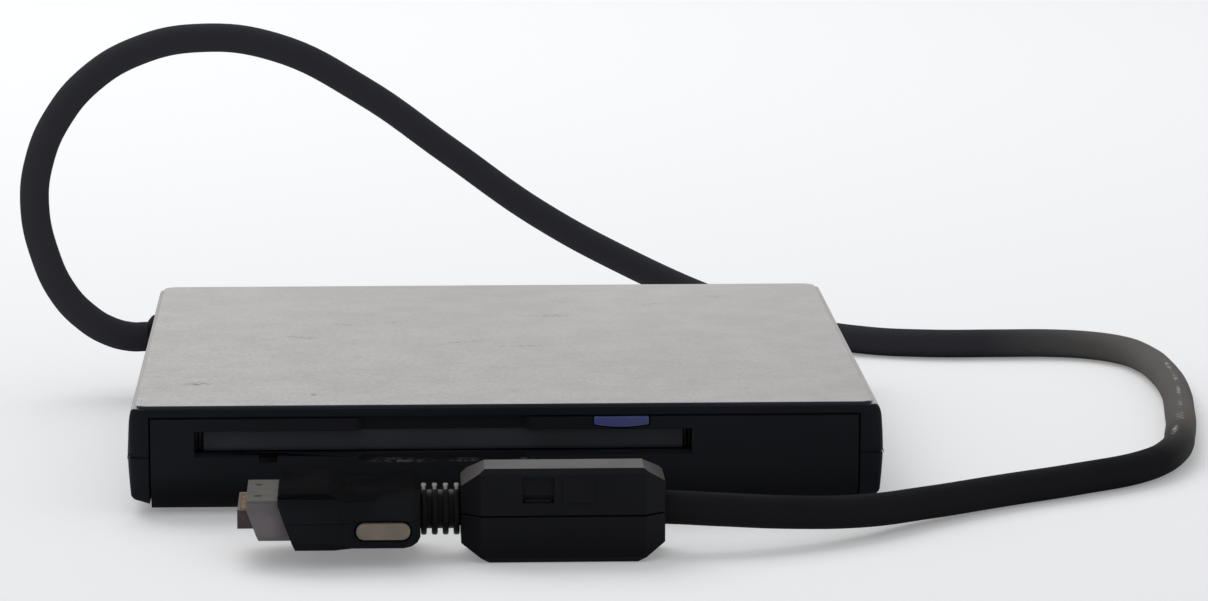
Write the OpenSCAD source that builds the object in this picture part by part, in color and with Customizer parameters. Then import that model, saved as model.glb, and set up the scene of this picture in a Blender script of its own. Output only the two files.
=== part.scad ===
// External floppy disk drive with a fixed lead, in millimetres.
// X is the width, Y runs from the front (-) to the rear (+), Z is up from the table.
// The origin is the middle of the drive's footprint, at the bottom of its feet.

/* [Casing] */
// Width of the casing
body_w = 140; // [126:1:160]
// Depth of the casing from the bezel to the rear wall
body_d = 136; // [135.5:0.5:150]
// Height from the table to the top of the lid
body_h = 21; // [18.9:0.1:26]
// Height that the feet hold the floor above the table
foot_h = 1; // [0.8:0.1:2]
// Radius of a foot
foot_r = 4.5; // [3:0.1:5]
// Thickness of the side and rear walls
wall_t = 2; // [1.6:0.1:2.2]
// Width of the wall ends that frame the bezel
end_t = 3.3; // [2.6:0.1:3.6]
// Thickness of the case's top plate
plate_t = 1.6; // [1.2:0.1:1.7]
// Thickness of the case's floor
floor_t = 1.6; // [1.2:0.1:1.7]
// Thickness of the pale lid sheet
lid_t = 0.6; // [0.4:0.05:0.9]
// Step from the lid sheet's edge in to the case's edge
lid_inset = 0.45; // [0.2:0.05:1.5]
// Radius of the casing's corners in plan
corner_r = 2.6; // [1.5:0.1:6]
// Height of the seam between the two case halves
split_z = 11.4; // [10.5:0.1:12.4]
// Radius of the screw bosses
boss_r = 2.5; // [2:0.1:2.7]
// Radius of the case screws
case_screw_r = 1; // [0.8:0.05:1.2]
// Depth of the sinks for the screw heads
sink_d = 1.6; // [1.3:0.1:2.4]

/* [Front] */
// Thickness of the bezel
bezel_t = 2.6; // [2.4:0.1:3]
// Height at which the bezel starts to curve under
curve_z = 8; // [6:0.1:8.5]
// Radius of the curve under the bezel
curve_r = 9; // [8:0.1:14]
// Middle of the disk slot, from the casing's left side
slot_x = 58.4; // [57.5:0.1:62]
// Width of the disk slot
slot_w = 93.2; // [92.4:0.1:95]
// Depth of the slot's lower edge under the top of the lid
slot_z = 9.2; // [8.6:0.1:9.4]
// Height of the slot's opening
slot_h = 4.3; // [4.2:0.05:4.4]
// Width of the flap
flap_w = 90; // [86:0.1:91]
// Thickness of the flap
flap_t = 0.7; // [0.5:0.05:0.75]
// Depth of the finger recess
scoop_d = 1.9; // [1:0.1:2]
// Width of the finger recess
scoop_w = 32.6; // [20:0.1:40]
// Width of the eject button
button_w = 10.3; // [7:0.1:14]
// Middle of the eject button, sideways from the slot's middle
button_x = 33.35; // [26:0.1:38]
// Height of the eject button
button_h = 2.05; // [1.6:0.05:2.2]
// Travel of the eject button
eject_travel = 4; // [3:0.1:4.2]
// Width of the lamp window
lamp_w = 3.1; // [2:0.1:6]

/* [Drive unit] */
// Width of the chassis
unit_w = 96; // [95.6:0.1:97]
// Depth of the chassis
unit_d = 120.4; // [119:0.1:121]
// Thickness of the chassis floor
tray_t = 0.8; // [0.6:0.05:0.9]
// Thickness of the chassis walls
tray_wall = 1; // [0.8:0.05:1.1]
// Thickness of the circuit boards
board_t = 0.8; // [0.6:0.05:0.9]
// Width of a disk
disk_w = 90; // [88:0.1:90.2]
// Height of the channel that holds the disk
channel_h = 4.3; // [4.2:0.05:4.4]
// Thickness of the holder's sheet
holder_t = 0.5; // [0.4:0.05:0.55]
// Distance that the holder drops with the disk
drop = 2; // [1.5:0.1:2.2]
// Thickness of the slide plate
slide_t = 0.5; // [0.4:0.05:0.55]
// Thickness of the drive's sheet cover
cover_t = 0.4; // [0.3:0.05:0.6]
// Radius of the holder's guide pins
pin_r = 0.7; // [0.5:0.05:0.8]
// Radius of the spindle rotor
rotor_r = 19; // [16:0.1:19.4]
// Radius of the spindle hub
hub_r = 12; // [10:0.1:14]
// Radius of the spindle shaft
shaft_r = 1.5; // [1:0.05:1.9]
// Radius of the guide rod
rod_r = 1.2; // [0.9:0.05:1.3]
// Radius of the lead screw
screw_r = 1.5; // [1:0.05:1.6]
// Radius of the stepper motor
stepper_r = 5; // [4:0.1:5.1]
// Length of the stepper motor
stepper_l = 8.5; // [7:0.1:8.6]
// Travel of the heads from the outer to the inner track
head_travel = 15; // [12:0.1:15]

/* [Lead] */
// Radius of the lead
cord_r = 3.1; // [2.5:0.05:3.2]
// Length of the gland outside the wall
gland_out = 2.3; // [1.5:0.1:4]
// Radius of the gland's collar
gland_r = 4.6; // [4.4:0.1:5.2]
// Length of the ferrite case
ferrite_l = 36.8; // [30:0.1:45]
// Height of the ferrite case
ferrite_h = 17.2; // [16.6:0.1:20]
// Depth of the ferrite case
ferrite_w = 17; // [16.4:0.1:20]
// Wall of the ferrite case
ferrite_wall = 1.5; // [1.2:0.1:1.9]
// Radius of the boot's ribs
boot_r = 4.7; // [4.2:0.1:5]
// Number of ribs on the boot
boot_ribs = 4; // [3:1:4]

/* [Plug] */
// Width of the plug's hood
hood_w = 26; // [25:0.1:32]
// Height of the plug's hood
hood_h = 10.2; // [9.8:0.1:12]
// Length of the plug's hood
hood_l = 25.5; // [25.2:0.1:32]
// Wall of the plug's hood
hood_wall = 1.3; // [1:0.05:1.35]
// Width of the plug's metal shell
shell_w = 21; // [20:0.1:21.8]
// Height of the plug's metal shell
shell_h = 7.4; // [7:0.1:7.5]
// Length of the metal shell outside the hood
shell_l = 5.7; // [4:0.1:8]
// Sheet thickness of the metal shell
shell_t = 0.4; // [0.3:0.05:0.5]
// Number of contacts in a row
contacts = 13; // [8:1:13]
// Travel of the release buttons
release_travel = 0.9; // [0.5:0.05:1]

/* [Hidden] */

$fn = 48;
eps = 0.01;           // overrun of a cutting tool
run = 0.05;           // radial clearance of a running fit
loose = 0.3;          // clearance between pieces that move past each other
seat = 0.1;           // clearance of a piece in its pocket

// casing, derived
half_w = body_w / 2;
half_d = body_d / 2;
front_y = -half_d;
rear_y = half_d;
floor_z = foot_h + floor_t;
lid_z = body_h - lid_t;
plate_z = lid_z - plate_t;
bevel_w = 5;          // width and height of the bevel round the underside
bevel_h = 2.4;
seam = 0.25;          // open line between the bezel and the wall ends
bezel_y = front_y + 0.15;
bezel_half = half_w - end_t - seam;
bezel_top = plate_z - 0.2;
bezel_foot = 7.9;     // depth of the bezel's foot on the floor line
boss_x = half_w - wall_t - boss_r - 1.6;
boss_ys = [front_y + 16, rear_y - 24];
foot_x = half_w - 14;
foot_y = half_d - 16;
foot_sink = 0.6;      // depth of the feet in the floor

// drive unit, derived; cx is the middle of the disk
cx = slot_x - half_w;
slot_low = body_h - slot_z;
button_cx = cx + button_x;
unit_y0 = front_y + 5.6;
unit_y1 = unit_y0 + unit_d;
rear_room = rear_y - wall_t - unit_y1;
board_z = floor_z + 0.8;
tray_z = board_z + board_t + 0.4;
tray_top = tray_z + tray_t;
tray_half = unit_w / 2;
channel_z = slot_low - 0.2;
rail_t = 0.4;         // thickness of the rails under the disk
holder_top = channel_z + channel_h;
slide_z = holder_top + holder_t + 0.75;
cover_z = slide_z + slide_t + loose;
holder_half = disk_w / 2 + holder_t + 0.5;
slide_half = holder_half + loose + 0.4;
holder_y0 = front_y + 8.5;
holder_y1 = holder_y0 + 89.5;
spindle_y = front_y + 51.5;
head_y = spindle_y + 39.5;

// slot flap and button, derived
flap_y = bezel_y + bezel_t + seat;
flap_pin_r = 0.45;
flap_ax_y = flap_y + 0.45;
flap_ax_z = slot_low + slot_h + 0.45;
flap_neck_r = 0.25;    // thin end of the left pin, inside the spring
flap_neck_x = cx - flap_w / 2 - 3.2;
button_top = bezel_top - 0.1;
button_d = 2;         // depth of the button's head
bow = 0.5;            // bow of the button's lower edge

// loading mechanism, derived
cam_ys = [front_y + 23, front_y + 83];
cam_z = channel_z + 1.8;
cam_gap = 0.1;
flange_t = 0.4;
flange_z = cam_z - drop - pin_r - cam_gap - 0.6;
pivot_x = cx - 37;
pivot_y = holder_y1 + 10;
lever_z = cam_z - 0.2;
lever_t = 0.8;
lever_post_r = 1.2;
spring_x = 40;        // sideways place of the slide springs from the disk's middle
spring_z = slide_z - 1.35;

// spindle motor, derived
bearing_r = 3.6;
motor_board_z = tray_z;
rotor_z = motor_board_z + board_t + 0.4;
rotor_t = 0.5;
hub_h = 0.7;
hub_z = channel_z - drop + 0.1 - hub_h;
rotor_h = hub_z - rotor_z;
shaft_top = channel_z - 0.35;

// head carriage and its drive, derived
rod_x = cx + 12.6;
rod_z = tray_top + 2.2;
rod_y0 = spindle_y + 21.5;
rod_y1 = unit_y1 - 2.2;
sleeve_r = rod_r + 0.8;
screw_x = cx - 15.4;
screw_z = tray_top + stepper_r + 0.2;
stepper_y1 = unit_y1 - tray_wall - 0.2;
stepper_y0 = stepper_y1 - stepper_l;
nut_t = 2;
nut_y = stepper_y0 - 0.8 - nut_t;
bracket_y = nut_y - head_travel - 1.2;
carriage_y0 = head_y - 4.2;
carriage_y1 = nut_y + nut_t;
carriage_z = tray_top + 0.8;
carriage_h = (channel_z - carriage_z) / 2 - 0.1;
arm_ax_y = carriage_y1 + 2.2;
arm_ax_z = carriage_z + carriage_h + 4.2;
arm_t = 0.9;
head_w = 4;
head_rest_z = holder_top + 0.15;
flex_y0 = carriage_y1 - 14.5;

// relay space, derived
relay_x0 = cx + tray_half + 6.6;
relay_x1 = half_w - wall_t - 3.5;
relay_mid = (relay_x0 + relay_x1) / 2;
relay_y0 = front_y + 28;
relay_y1 = rear_y - 32;
relay_z = floor_z + 2.6;
ear_x = tray_half + 2.8;
ear_ys = [front_y + 38, front_y + 96];

// lead, derived; the route runs from the gland to the right end of the ferrite
gland_y = rear_y - 12;
gland_z = plate_z - 6.4;
lead_y = -102.2;
lead_z = 8.4;
ferrite_x0 = -9;
ferrite_x1 = ferrite_x0 + ferrite_l;
ferrite_split = ferrite_h / 2;
bore_gap = 0.4;
cord_route = [[-72.3, 56, 12.4], [-76, 56, 12.4], [-80.5, 56.2, 13.6], [-85, 57, 16.2],
    [-90, 58.5, 21.2], [-94, 60.8, 29.2], [-96.2, 63.8, 39.5], [-95.2, 66.5, 48.5],
    [-91.5, 69.5, 57], [-84.5, 73, 65], [-74.5, 77, 70.5], [-62, 82.4, 72.5], [-46, 89.6, 69.7],
    [-27, 99.8, 58.8], [-8, 110, 43.9], [12, 118.3, 28.5], [32, 121, 17], [51, 116, 9],
    [69, 106.3, 4.2], [83, 97.5, 3.2], [97, 92.8, 3.2], [112, 92.4, 3.2], [124, 92, 3.2],
    [132, 89, 3.2], [138, 82.8, 3.2], [141.3, 73, 3.2], [142.8, 56, 3.2], [142.2, 34, 3.2],
    [139.8, 13, 3.2], [136.4, -10, 3.2], [131.6, -30, 3.2], [123.5, -44, 3.2],
    [110, -54.8, 3.2], [94, -65.3, 3.2], [78, -78.8, 3.8], [64, -91.4, 5], [50, -98.7, 6.5],
    [38, -101.6, 7.7], [27, -102.2, 8.4], [-9.2, -102.2, 8.4]];
cord_sides = 10;
wire_r = 1.7;
wire_x = relay_x0 + 2;
wire_y = unit_y1 + rear_room / 2 + 0.6;
wire_z = floor_z + 6.4;
wire_route = [[-half_w, gland_y, gland_z], [-half_w + 6.6, gland_y, gland_z],
    [-half_w + 7.8, gland_y + 1.2, gland_z - 0.2], [-half_w + 8.8, wire_y - 2.6, wire_z + 2.2],
    [-half_w + 11.4, wire_y - 0.8, wire_z + 1.2], [-half_w + 18, wire_y, wire_z + 0.4],
    [-half_w + 26, wire_y, wire_z], [cx, wire_y, wire_z], [wire_x - 30, wire_y, wire_z],
    [wire_x - 12, wire_y - 0.3, wire_z - 0.2], [wire_x - 5, wire_y - 3, wire_z - 0.6],
    [wire_x - 1.2, wire_y - 9, wire_z - 0.8], [wire_x, relay_y1 + 8, relay_z + 2.7],
    [wire_x, relay_y1 - 1.7, relay_z + 2.7]];
boot_x1 = ferrite_x0 - 0.2;
boot_l = 7.9;
neck_r = cord_r + 0.45;
boot_x0 = boot_x1 - boot_l;

// plug, derived; it points to -X
boot_neck = 2;        // length of the boot's neck inside the hood
hood_x1 = boot_x0 + 0.8;
hood_x0 = hood_x1 - hood_l;
hood_z0 = lead_z - hood_h / 2;
shell_x0 = hood_x0 - shell_l;
rake = 20;            // slope of the lower half of the hood's front
button_slot_l = 9.9;
button_slot_h = 3.2;
release_x = hood_x1 - 6.7;
release_z = lead_z - 1.6;

// ---------------------------------------------------------------- helpers
function arc(y, z, r, a0, a1, n) =
    [for (i = [0 : n]) [y + r * cos(a0 + (a1 - a0) * i / n), z + r * sin(a0 + (a1 - a0) * i / n)]];

// extrudes a YZ outline along X from x0 to x1
module along_x(x0, x1) {
    translate([x0, 0, 0]) rotate([90, 0, 90]) linear_extrude(x1 - x0) children();
}

// extrudes an XZ outline along Y from y0 to y1
module along_y(y0, y1) {
    translate([0, y1, 0]) rotate([90, 0, 0]) linear_extrude(y1 - y0) children();
}

// block between two corners
module block(a, b) {
    translate(a) cube([b[0] - a[0], b[1] - a[1], b[2] - a[2]]);
}

module tube(r, r_in, h) {
    difference() {
        cylinder(r = r, h = h);
        translate([0, 0, -eps]) cylinder(r = r_in, h = h + 2 * eps);
    }
}

module rounded_plan(x, y, r) {
    difference() {
        square([2 * x, 2 * y], center = true);
        for (sx = [-1, 1]) {
            for (sy = [-1, 1]) {
                translate([sx * x, sy * y]) difference() {
                    square(2 * r, center = true);
                    translate([-sx * r, -sy * r]) circle(r);
                }
            }
        }
    }
}

// tube swept along a list of points, each ring square to the route
function unit_v(v) = v / norm(v);
function heading(p, i) = unit_v(
    (i == 0 || i == len(p) - 1 ? [0, 0, 0] : unit_v(p[i] - p[i - 1]))
    + (i == 0 ? p[1] - p[0] : i == len(p) - 1 ? p[i] - p[i - 1] : unit_v(p[i + 1] - p[i])));
function carried(prev, t) = unit_v(prev - (prev * t) * t);
function frames(p, i = 0, acc = []) = i == len(p) ? acc :
    frames(p, i + 1, concat(acc, [carried(i == 0 ? [0, 0.1, 1] : acc[i - 1], heading(p, i))]));
module swept(p, r, sides) {
    ups = frames(p);
    pts = [for (i = [0 : len(p) - 1]) let (t = heading(p, i), u = ups[i], v = cross(t, u))
        for (k = [0 : sides - 1]) let (a = 360 * k / sides) p[i] + r * (cos(a) * u + sin(a) * v)];
    n = len(p);
    walls = [for (i = [0 : n - 2]) for (k = [0 : sides - 1]) let (q = (k + 1) % sides)
        each [[i * sides + k, (i + 1) * sides + k, (i + 1) * sides + q],
              [i * sides + k, (i + 1) * sides + q, i * sides + q]]];
    first = [for (k = [0 : sides - 1]) k];
    last = [for (k = [sides - 1 : -1 : 0]) (n - 1) * sides + k];
    polyhedron(pts, concat(walls, [first], [last]));
}

// ---------------------------------------------------------------- casing
// outline of the casing seen from the front
function case_front() = concat(
    [[half_w - bevel_w - 0.4, foot_h], [half_w - 0.9, foot_h + bevel_h - 0.4],
     [half_w - 0.4, foot_h + bevel_h + 0.5], [half_w, split_z], [half_w - 0.35, body_h]],
    [[-half_w + 0.35, body_h], [-half_w, split_z], [-half_w + 0.4, foot_h + bevel_h + 0.5],
     [-half_w + 0.9, foot_h + bevel_h - 0.4], [-half_w + bevel_w + 0.4, foot_h]]);

// front outline of the bezel and the wall ends, from the table up
under_a = asin(min(1, (curve_z - foot_h) / curve_r));
function nose(y) = arc(y + curve_r, curve_z, curve_r, 180 + under_a, 180, 10);

// outline of the casing seen from the side
function case_side() = concat(
    nose(front_y), [[front_y, body_h], [rear_y - 0.35, body_h], [rear_y, split_z],
     [rear_y - 0.4, foot_h + bevel_h + 0.5], [rear_y - 0.9, foot_h + bevel_h - 0.4],
     [rear_y - bevel_w - 0.4, foot_h]]);

module case_blank() {
    intersection() {
        along_y(front_y, rear_y) polygon(case_front());
        along_x(-half_w, half_w) polygon(case_side());
        linear_extrude(body_h + 1) rounded_plan(half_w, half_d, corner_r);
    }
}

module gland_hole() {
    translate([-half_w - 1, gland_y, gland_z]) rotate([0, 90, 0])
        cylinder(r = gland_r - 0.4 + seat, h = wall_t + 2);
}

module case_hollow(z0, z1) {
    block([-half_w + wall_t, bezel_y + 8, z0], [half_w - wall_t, rear_y - wall_t, z1]);
    block([-half_w + end_t, front_y - 1, z0], [half_w - end_t, bezel_y + 8 + eps, z1]);
}

module at_bosses() {
    for (sx = [-1, 1]) {
        for (y = boss_ys) {
            translate([sx * boss_x, y, 0]) children();
        }
    }
}

module lid_panel() {
    color([0.70, 0.69, 0.67]) intersection() {
        translate([0, 0, lid_z]) linear_extrude(lid_t)
            rounded_plan(half_w - 0.35 - lid_inset, half_d - lid_inset, corner_r);
        along_x(-half_w, half_w) polygon([[front_y + lid_inset, lid_z - eps],
            [front_y + lid_inset, body_h - 0.25], [front_y + lid_inset + 0.25, body_h],
            [rear_y - lid_inset - 0.25, body_h], [rear_y - lid_inset, body_h - 0.25],
            [rear_y - lid_inset, lid_z - eps]]);
        along_y(front_y, rear_y) polygon([[half_w - 0.35 - lid_inset, lid_z - eps],
            [half_w - 0.35 - lid_inset, body_h - 0.25], [half_w - 0.6 - lid_inset, body_h],
            [-half_w + 0.6 + lid_inset, body_h], [-half_w + 0.35 + lid_inset, body_h - 0.25],
            [-half_w + 0.35 + lid_inset, lid_z - eps]]);
    }
}

module case_top() {
    color([0.09, 0.09, 0.10]) difference() {
        union() {
            difference() {
                intersection() {
                    case_blank();
                    block([-half_w, front_y, split_z], [half_w, rear_y, lid_z]);
                }
                case_hollow(split_z - 1, plate_z);
            }
            at_bosses() translate([0, 0, split_z]) cylinder(r = boss_r, h = plate_z - split_z);
            block([-half_w + wall_t - 0.5, boss_ys[0] - 0.8, split_z], [-boss_x, boss_ys[0] + 0.8, plate_z]);
            block([boss_x, boss_ys[0] - 0.8, split_z], [half_w - wall_t + 0.5, boss_ys[0] + 0.8, plate_z]);
            block([-half_w + wall_t - 0.5, boss_ys[1] - 0.8, split_z], [-boss_x, boss_ys[1] + 0.8, plate_z]);
            block([boss_x, boss_ys[1] - 0.8, split_z], [half_w - wall_t + 0.5, boss_ys[1] + 0.8, plate_z]);
        }
        at_bosses() translate([0, 0, split_z - 1]) cylinder(r = case_screw_r, h = 5.2);
        gland_hole();
    }
}

module case_bottom() {
    post_h = tray_z - floor_z;
    color([0.08, 0.08, 0.09]) difference() {
        union() {
            difference() {
                intersection() {
                    case_blank();
                    block([-half_w, front_y, 0], [half_w, rear_y, split_z]);
                }
                case_hollow(floor_z, split_z + 1);
                block([-half_w + end_t, front_y - 1, foot_h - 1],
                      [half_w - end_t, bezel_y + bezel_foot + seat, split_z + 1]);
                seam_line();
            }
            intersection() {
                case_blank();
                at_bosses() translate([0, 0, foot_h]) cylinder(r = boss_r, h = split_z - foot_h);
            }
            for (sx = [-1, 1]) {
                for (y = ear_ys) {
                    translate([cx + sx * ear_x, y, floor_z - eps]) cylinder(r = 1.9, h = post_h + eps);
                }
            }
            for (x = [relay_x0 + 2.5, relay_x1 - 2.5]) {
                for (y = [relay_y0 + 2.5, relay_y1 - 2.5]) {
                    translate([x, y, floor_z - eps]) cylinder(r = 1.8, h = relay_z - floor_z + eps);
                }
            }
            clamp_posts();
        }
        at_bosses() {
            translate([0, 0, foot_h - 1]) cylinder(r = case_screw_r + 0.15, h = split_z);
            translate([0, 0, foot_h - 1]) cylinder(r = 2 * case_screw_r + 0.1, h = 1 + sink_d);
        }
        for (sx = [-1, 1]) {
            for (y = ear_ys) {
                translate([cx + sx * ear_x, y, floor_z]) cylinder(r = 0.9, h = post_h + 1);
            }
            for (sy = [-1, 1]) {
                translate([sx * foot_x, sy * foot_y, foot_h - 1])
                    cylinder(r = foot_r + seat, h = 1 + foot_sink);
            }
        }
        gland_hole();
    }
}

// shallow line round the casing under the seam
module seam_line() {
    difference() {
        block([-half_w - 1, front_y - 1, split_z - 0.35], [half_w + 1, rear_y + 1, split_z + 1]);
        translate([0, 0, split_z - 0.4]) linear_extrude(2)
            rounded_plan(half_w - 0.3, half_d - 0.3, corner_r);
    }
}

clamp_x0 = -half_w + wall_t + 1.4;
module clamp_posts() {
    for (s = [-1, 1]) {
        translate([clamp_x0 + 1.6, gland_y + s * 5.6, floor_z - eps])
            cylinder(r = 1.5, h = gland_z - cord_r - floor_z + 1.2);
    }
    block([clamp_x0, gland_y - 4.2, floor_z - eps],
          [clamp_x0 + 3.2, gland_y + 4.2, gland_z - wire_r - 0.1]);
}

module rubber_feet() {
    color([0.13, 0.13, 0.13]) for (sx = [-1, 1]) {
        for (sy = [-1, 1]) {
            translate([sx * foot_x, sy * foot_y, 0]) rotate_extrude()
                polygon([[0, 0], [foot_r - 0.6, 0], [foot_r, 0.5], [foot_r, foot_h + foot_sink],
                    [0, foot_h + foot_sink]]);
        }
    }
}

module case_screws() {
    head_z = foot_h + sink_d - 1.1;
    color([0.35, 0.35, 0.37]) at_bosses() {
        difference() {
            translate([0, 0, head_z]) cylinder(r = 2 * case_screw_r, h = 1.1);
            for (a = [0, 90]) {
                rotate(a) translate([-1.2, -0.2, head_z - 0.1]) cube([2.4, 0.4, 0.6]);
            }
        }
        translate([0, 0, head_z + 1.1 - eps]) cylinder(r = case_screw_r, h = split_z + 3.5 - head_z - 1.1);
    }
}

// ---------------------------------------------------------------- front
module button_outline(gap, top) {
    r = (pow(button_w / 2, 2) + bow * bow) / (2 * bow);
    intersection() {
        translate([0, top - button_h - gap + r]) circle(r, $fn = 160);
        translate([-button_w / 2 - gap, top - button_h - gap - 1])
            square([button_w + 2 * gap, button_h + gap + 1 + (gap > 0 ? 2 : 0)]);
    }
}

module front_bezel() {
    inner_r = curve_r - bezel_t;
    in_a = asin(min(1, (curve_z - floor_z) / inner_r));
    color([0.075, 0.078, 0.09]) difference() {
        union() {
            difference() {
                along_x(-bezel_half, bezel_half)
                    polygon(concat(nose(bezel_y), [[bezel_y, bezel_top - 0.3],
                        [bezel_y + 0.3, bezel_top], [bezel_y + bezel_foot, bezel_top],
                        [bezel_y + bezel_foot, foot_h]]));
                along_x(-bezel_half - 1, bezel_half + 1)
                    polygon(concat(arc(bezel_y + curve_r, curve_z, inner_r, 180 + in_a, 180, 8),
                        [[bezel_y + bezel_t, bezel_top + 1], [rear_y, bezel_top + 1], [rear_y, floor_z]]));
            }
            // ears that hold the flap's pins
            for (s = [-1, 1]) {
                translate([cx + s * (flap_w / 2 + loose + 0.6), 0, 0])
                    along_x(-0.6, 0.6) ear_outline();
            }
        }
        // slot and its sloped lower lip
        block([cx - slot_w / 2, front_y - 1, slot_low],
              [cx + slot_w / 2, bezel_y + bezel_t + eps, slot_low + slot_h]);
        along_x(cx - slot_w / 2, cx + slot_w / 2)
            polygon([[bezel_y - 1, slot_low - 1.4], [bezel_y + 1.3, slot_low + eps], [bezel_y - 1, slot_low + 1]]);
        // finger recess
        translate([cx, bezel_y, slot_low - 1.4]) linear_extrude(bezel_top)
            polygon([[-scoop_w / 2, -1], [-scoop_w / 2, 0], [-scoop_w / 2 + 1.6, scoop_d],
                [scoop_w / 2 - 1.6, scoop_d], [scoop_w / 2, 0], [scoop_w / 2, -1]]);
        // notch of the eject button
        translate([button_cx, 0, 0]) along_y(front_y - 1, bezel_y + bezel_t + 1)
            button_outline(0.2, button_top);
        // hole of the lamp window
        translate([cx - 32.8, 0, slot_low - 0.85]) along_y(front_y - 1, bezel_y + bezel_t + 1)
            square([lamp_w + 2 * seat, 1.3 + 2 * seat], center = true);
        // notch in the slot's lower edge
        block([cx + 28.9, front_y - 1, slot_low - 0.5], [cx + 34.9, bezel_y + 1.6, slot_low + eps]);
        for (s = [-1, 1]) {
            translate([cx + s * (flap_w / 2 + loose + 0.6), flap_ax_y, flap_ax_z]) rotate([0, 90, 0])
                cylinder(r = flap_pin_r + run, h = 3, center = true);
        }
    }
}

// side view of an ear: a tab behind the bezel with a round end
module ear_outline() {
    difference() {
        union() {
            translate([flap_ax_y, flap_ax_z]) circle(1.05);
            translate([bezel_y + bezel_t - 0.5, flap_ax_z - 0.7]) square([1, 1.75]);
        }
        translate([bezel_y - 1, flap_ax_z - 3]) square([bezel_t + 1 - 0.5, 6]);
    }
}

module slot_flap() {
    top_z = flap_ax_z + 0.15;
    low_z = slot_low + 0.1;
    color([0.10, 0.105, 0.12]) union() {
        along_x(cx - flap_w / 2, cx + flap_w / 2)
            polygon([[flap_y, low_z + 0.8], [flap_y, top_z - 0.2], [flap_y + 0.2, top_z],
                [flap_y + flap_t - 0.2, top_z], [flap_y + flap_t, top_z - 0.2],
                [flap_y + flap_t, low_z], [flap_y + 0.4, low_z]]);
        // pins; the left one is longer and carries the spring
        translate([flap_neck_x, flap_ax_y, flap_ax_z]) rotate([0, 90, 0])
            cylinder(r = flap_neck_r, h = 2);
        translate([cx - flap_w / 2 - 1.6, flap_ax_y, flap_ax_z]) rotate([0, 90, 0])
            cylinder(r = flap_pin_r, h = 1.6 + eps);
        translate([cx + flap_w / 2 - eps, flap_ax_y, flap_ax_z]) rotate([0, 90, 0])
            cylinder(r = flap_pin_r, h = 1.5 + eps);
    }
}

// torsion spring: a close coil round the left pin, with a leg on the bezel
module flap_spring() {
    color([0.6, 0.6, 0.62]) union() {
        translate([flap_neck_x + 0.1, flap_ax_y, flap_ax_z]) rotate([0, 90, 0])
            tube(0.5, flap_neck_r + run, 1.3);
        translate([flap_neck_x + 0.4, flap_ax_y - 0.4, flap_ax_z - 2.6]) cylinder(r = 0.1, h = 2.6);
    }
}

module eject_button() {
    color([0.16, 0.18, 0.42]) union() {
        translate([button_cx, 0, 0]) along_y(bezel_y, bezel_y + button_d) button_outline(0, button_top);
        block([button_cx - button_w / 2 + 0.7, bezel_y + button_d - eps, slide_z + slide_t],
              [button_cx + button_w / 2 - 0.7, holder_y0 - 1, button_top - 0.15]);
    }
}

module lamp_window() {
    color([0.05, 0.055, 0.06]) difference() {
        block([cx - 32.8 - lamp_w / 2, bezel_y + 0.05, slot_low - 1.5],
              [cx - 32.8 + lamp_w / 2, unit_y0 + 1.4, slot_low - 0.2]);
        along_x(cx - slot_w / 2, cx + slot_w / 2)
            polygon([[bezel_y - 1, slot_low - 1.4], [bezel_y + 1.3, slot_low + eps], [bezel_y - 1, slot_low + 1]]);
    }
}

module activity_lamp() {
    y0 = unit_y0 + 1.6;
    color([0.45, 0.5, 0.3]) union() {
        block([cx - 32.8 - 1.2, y0 + 0.4, tray_top], [cx - 32.8 + 1.2, y0 + 1.2, slot_low - 1.4]);
        block([cx - 32.8 - 1.5, y0, slot_low - 1.6], [cx - 32.8 + 1.5, y0 + 2, slot_low - 0.4]);
    }
}

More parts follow.
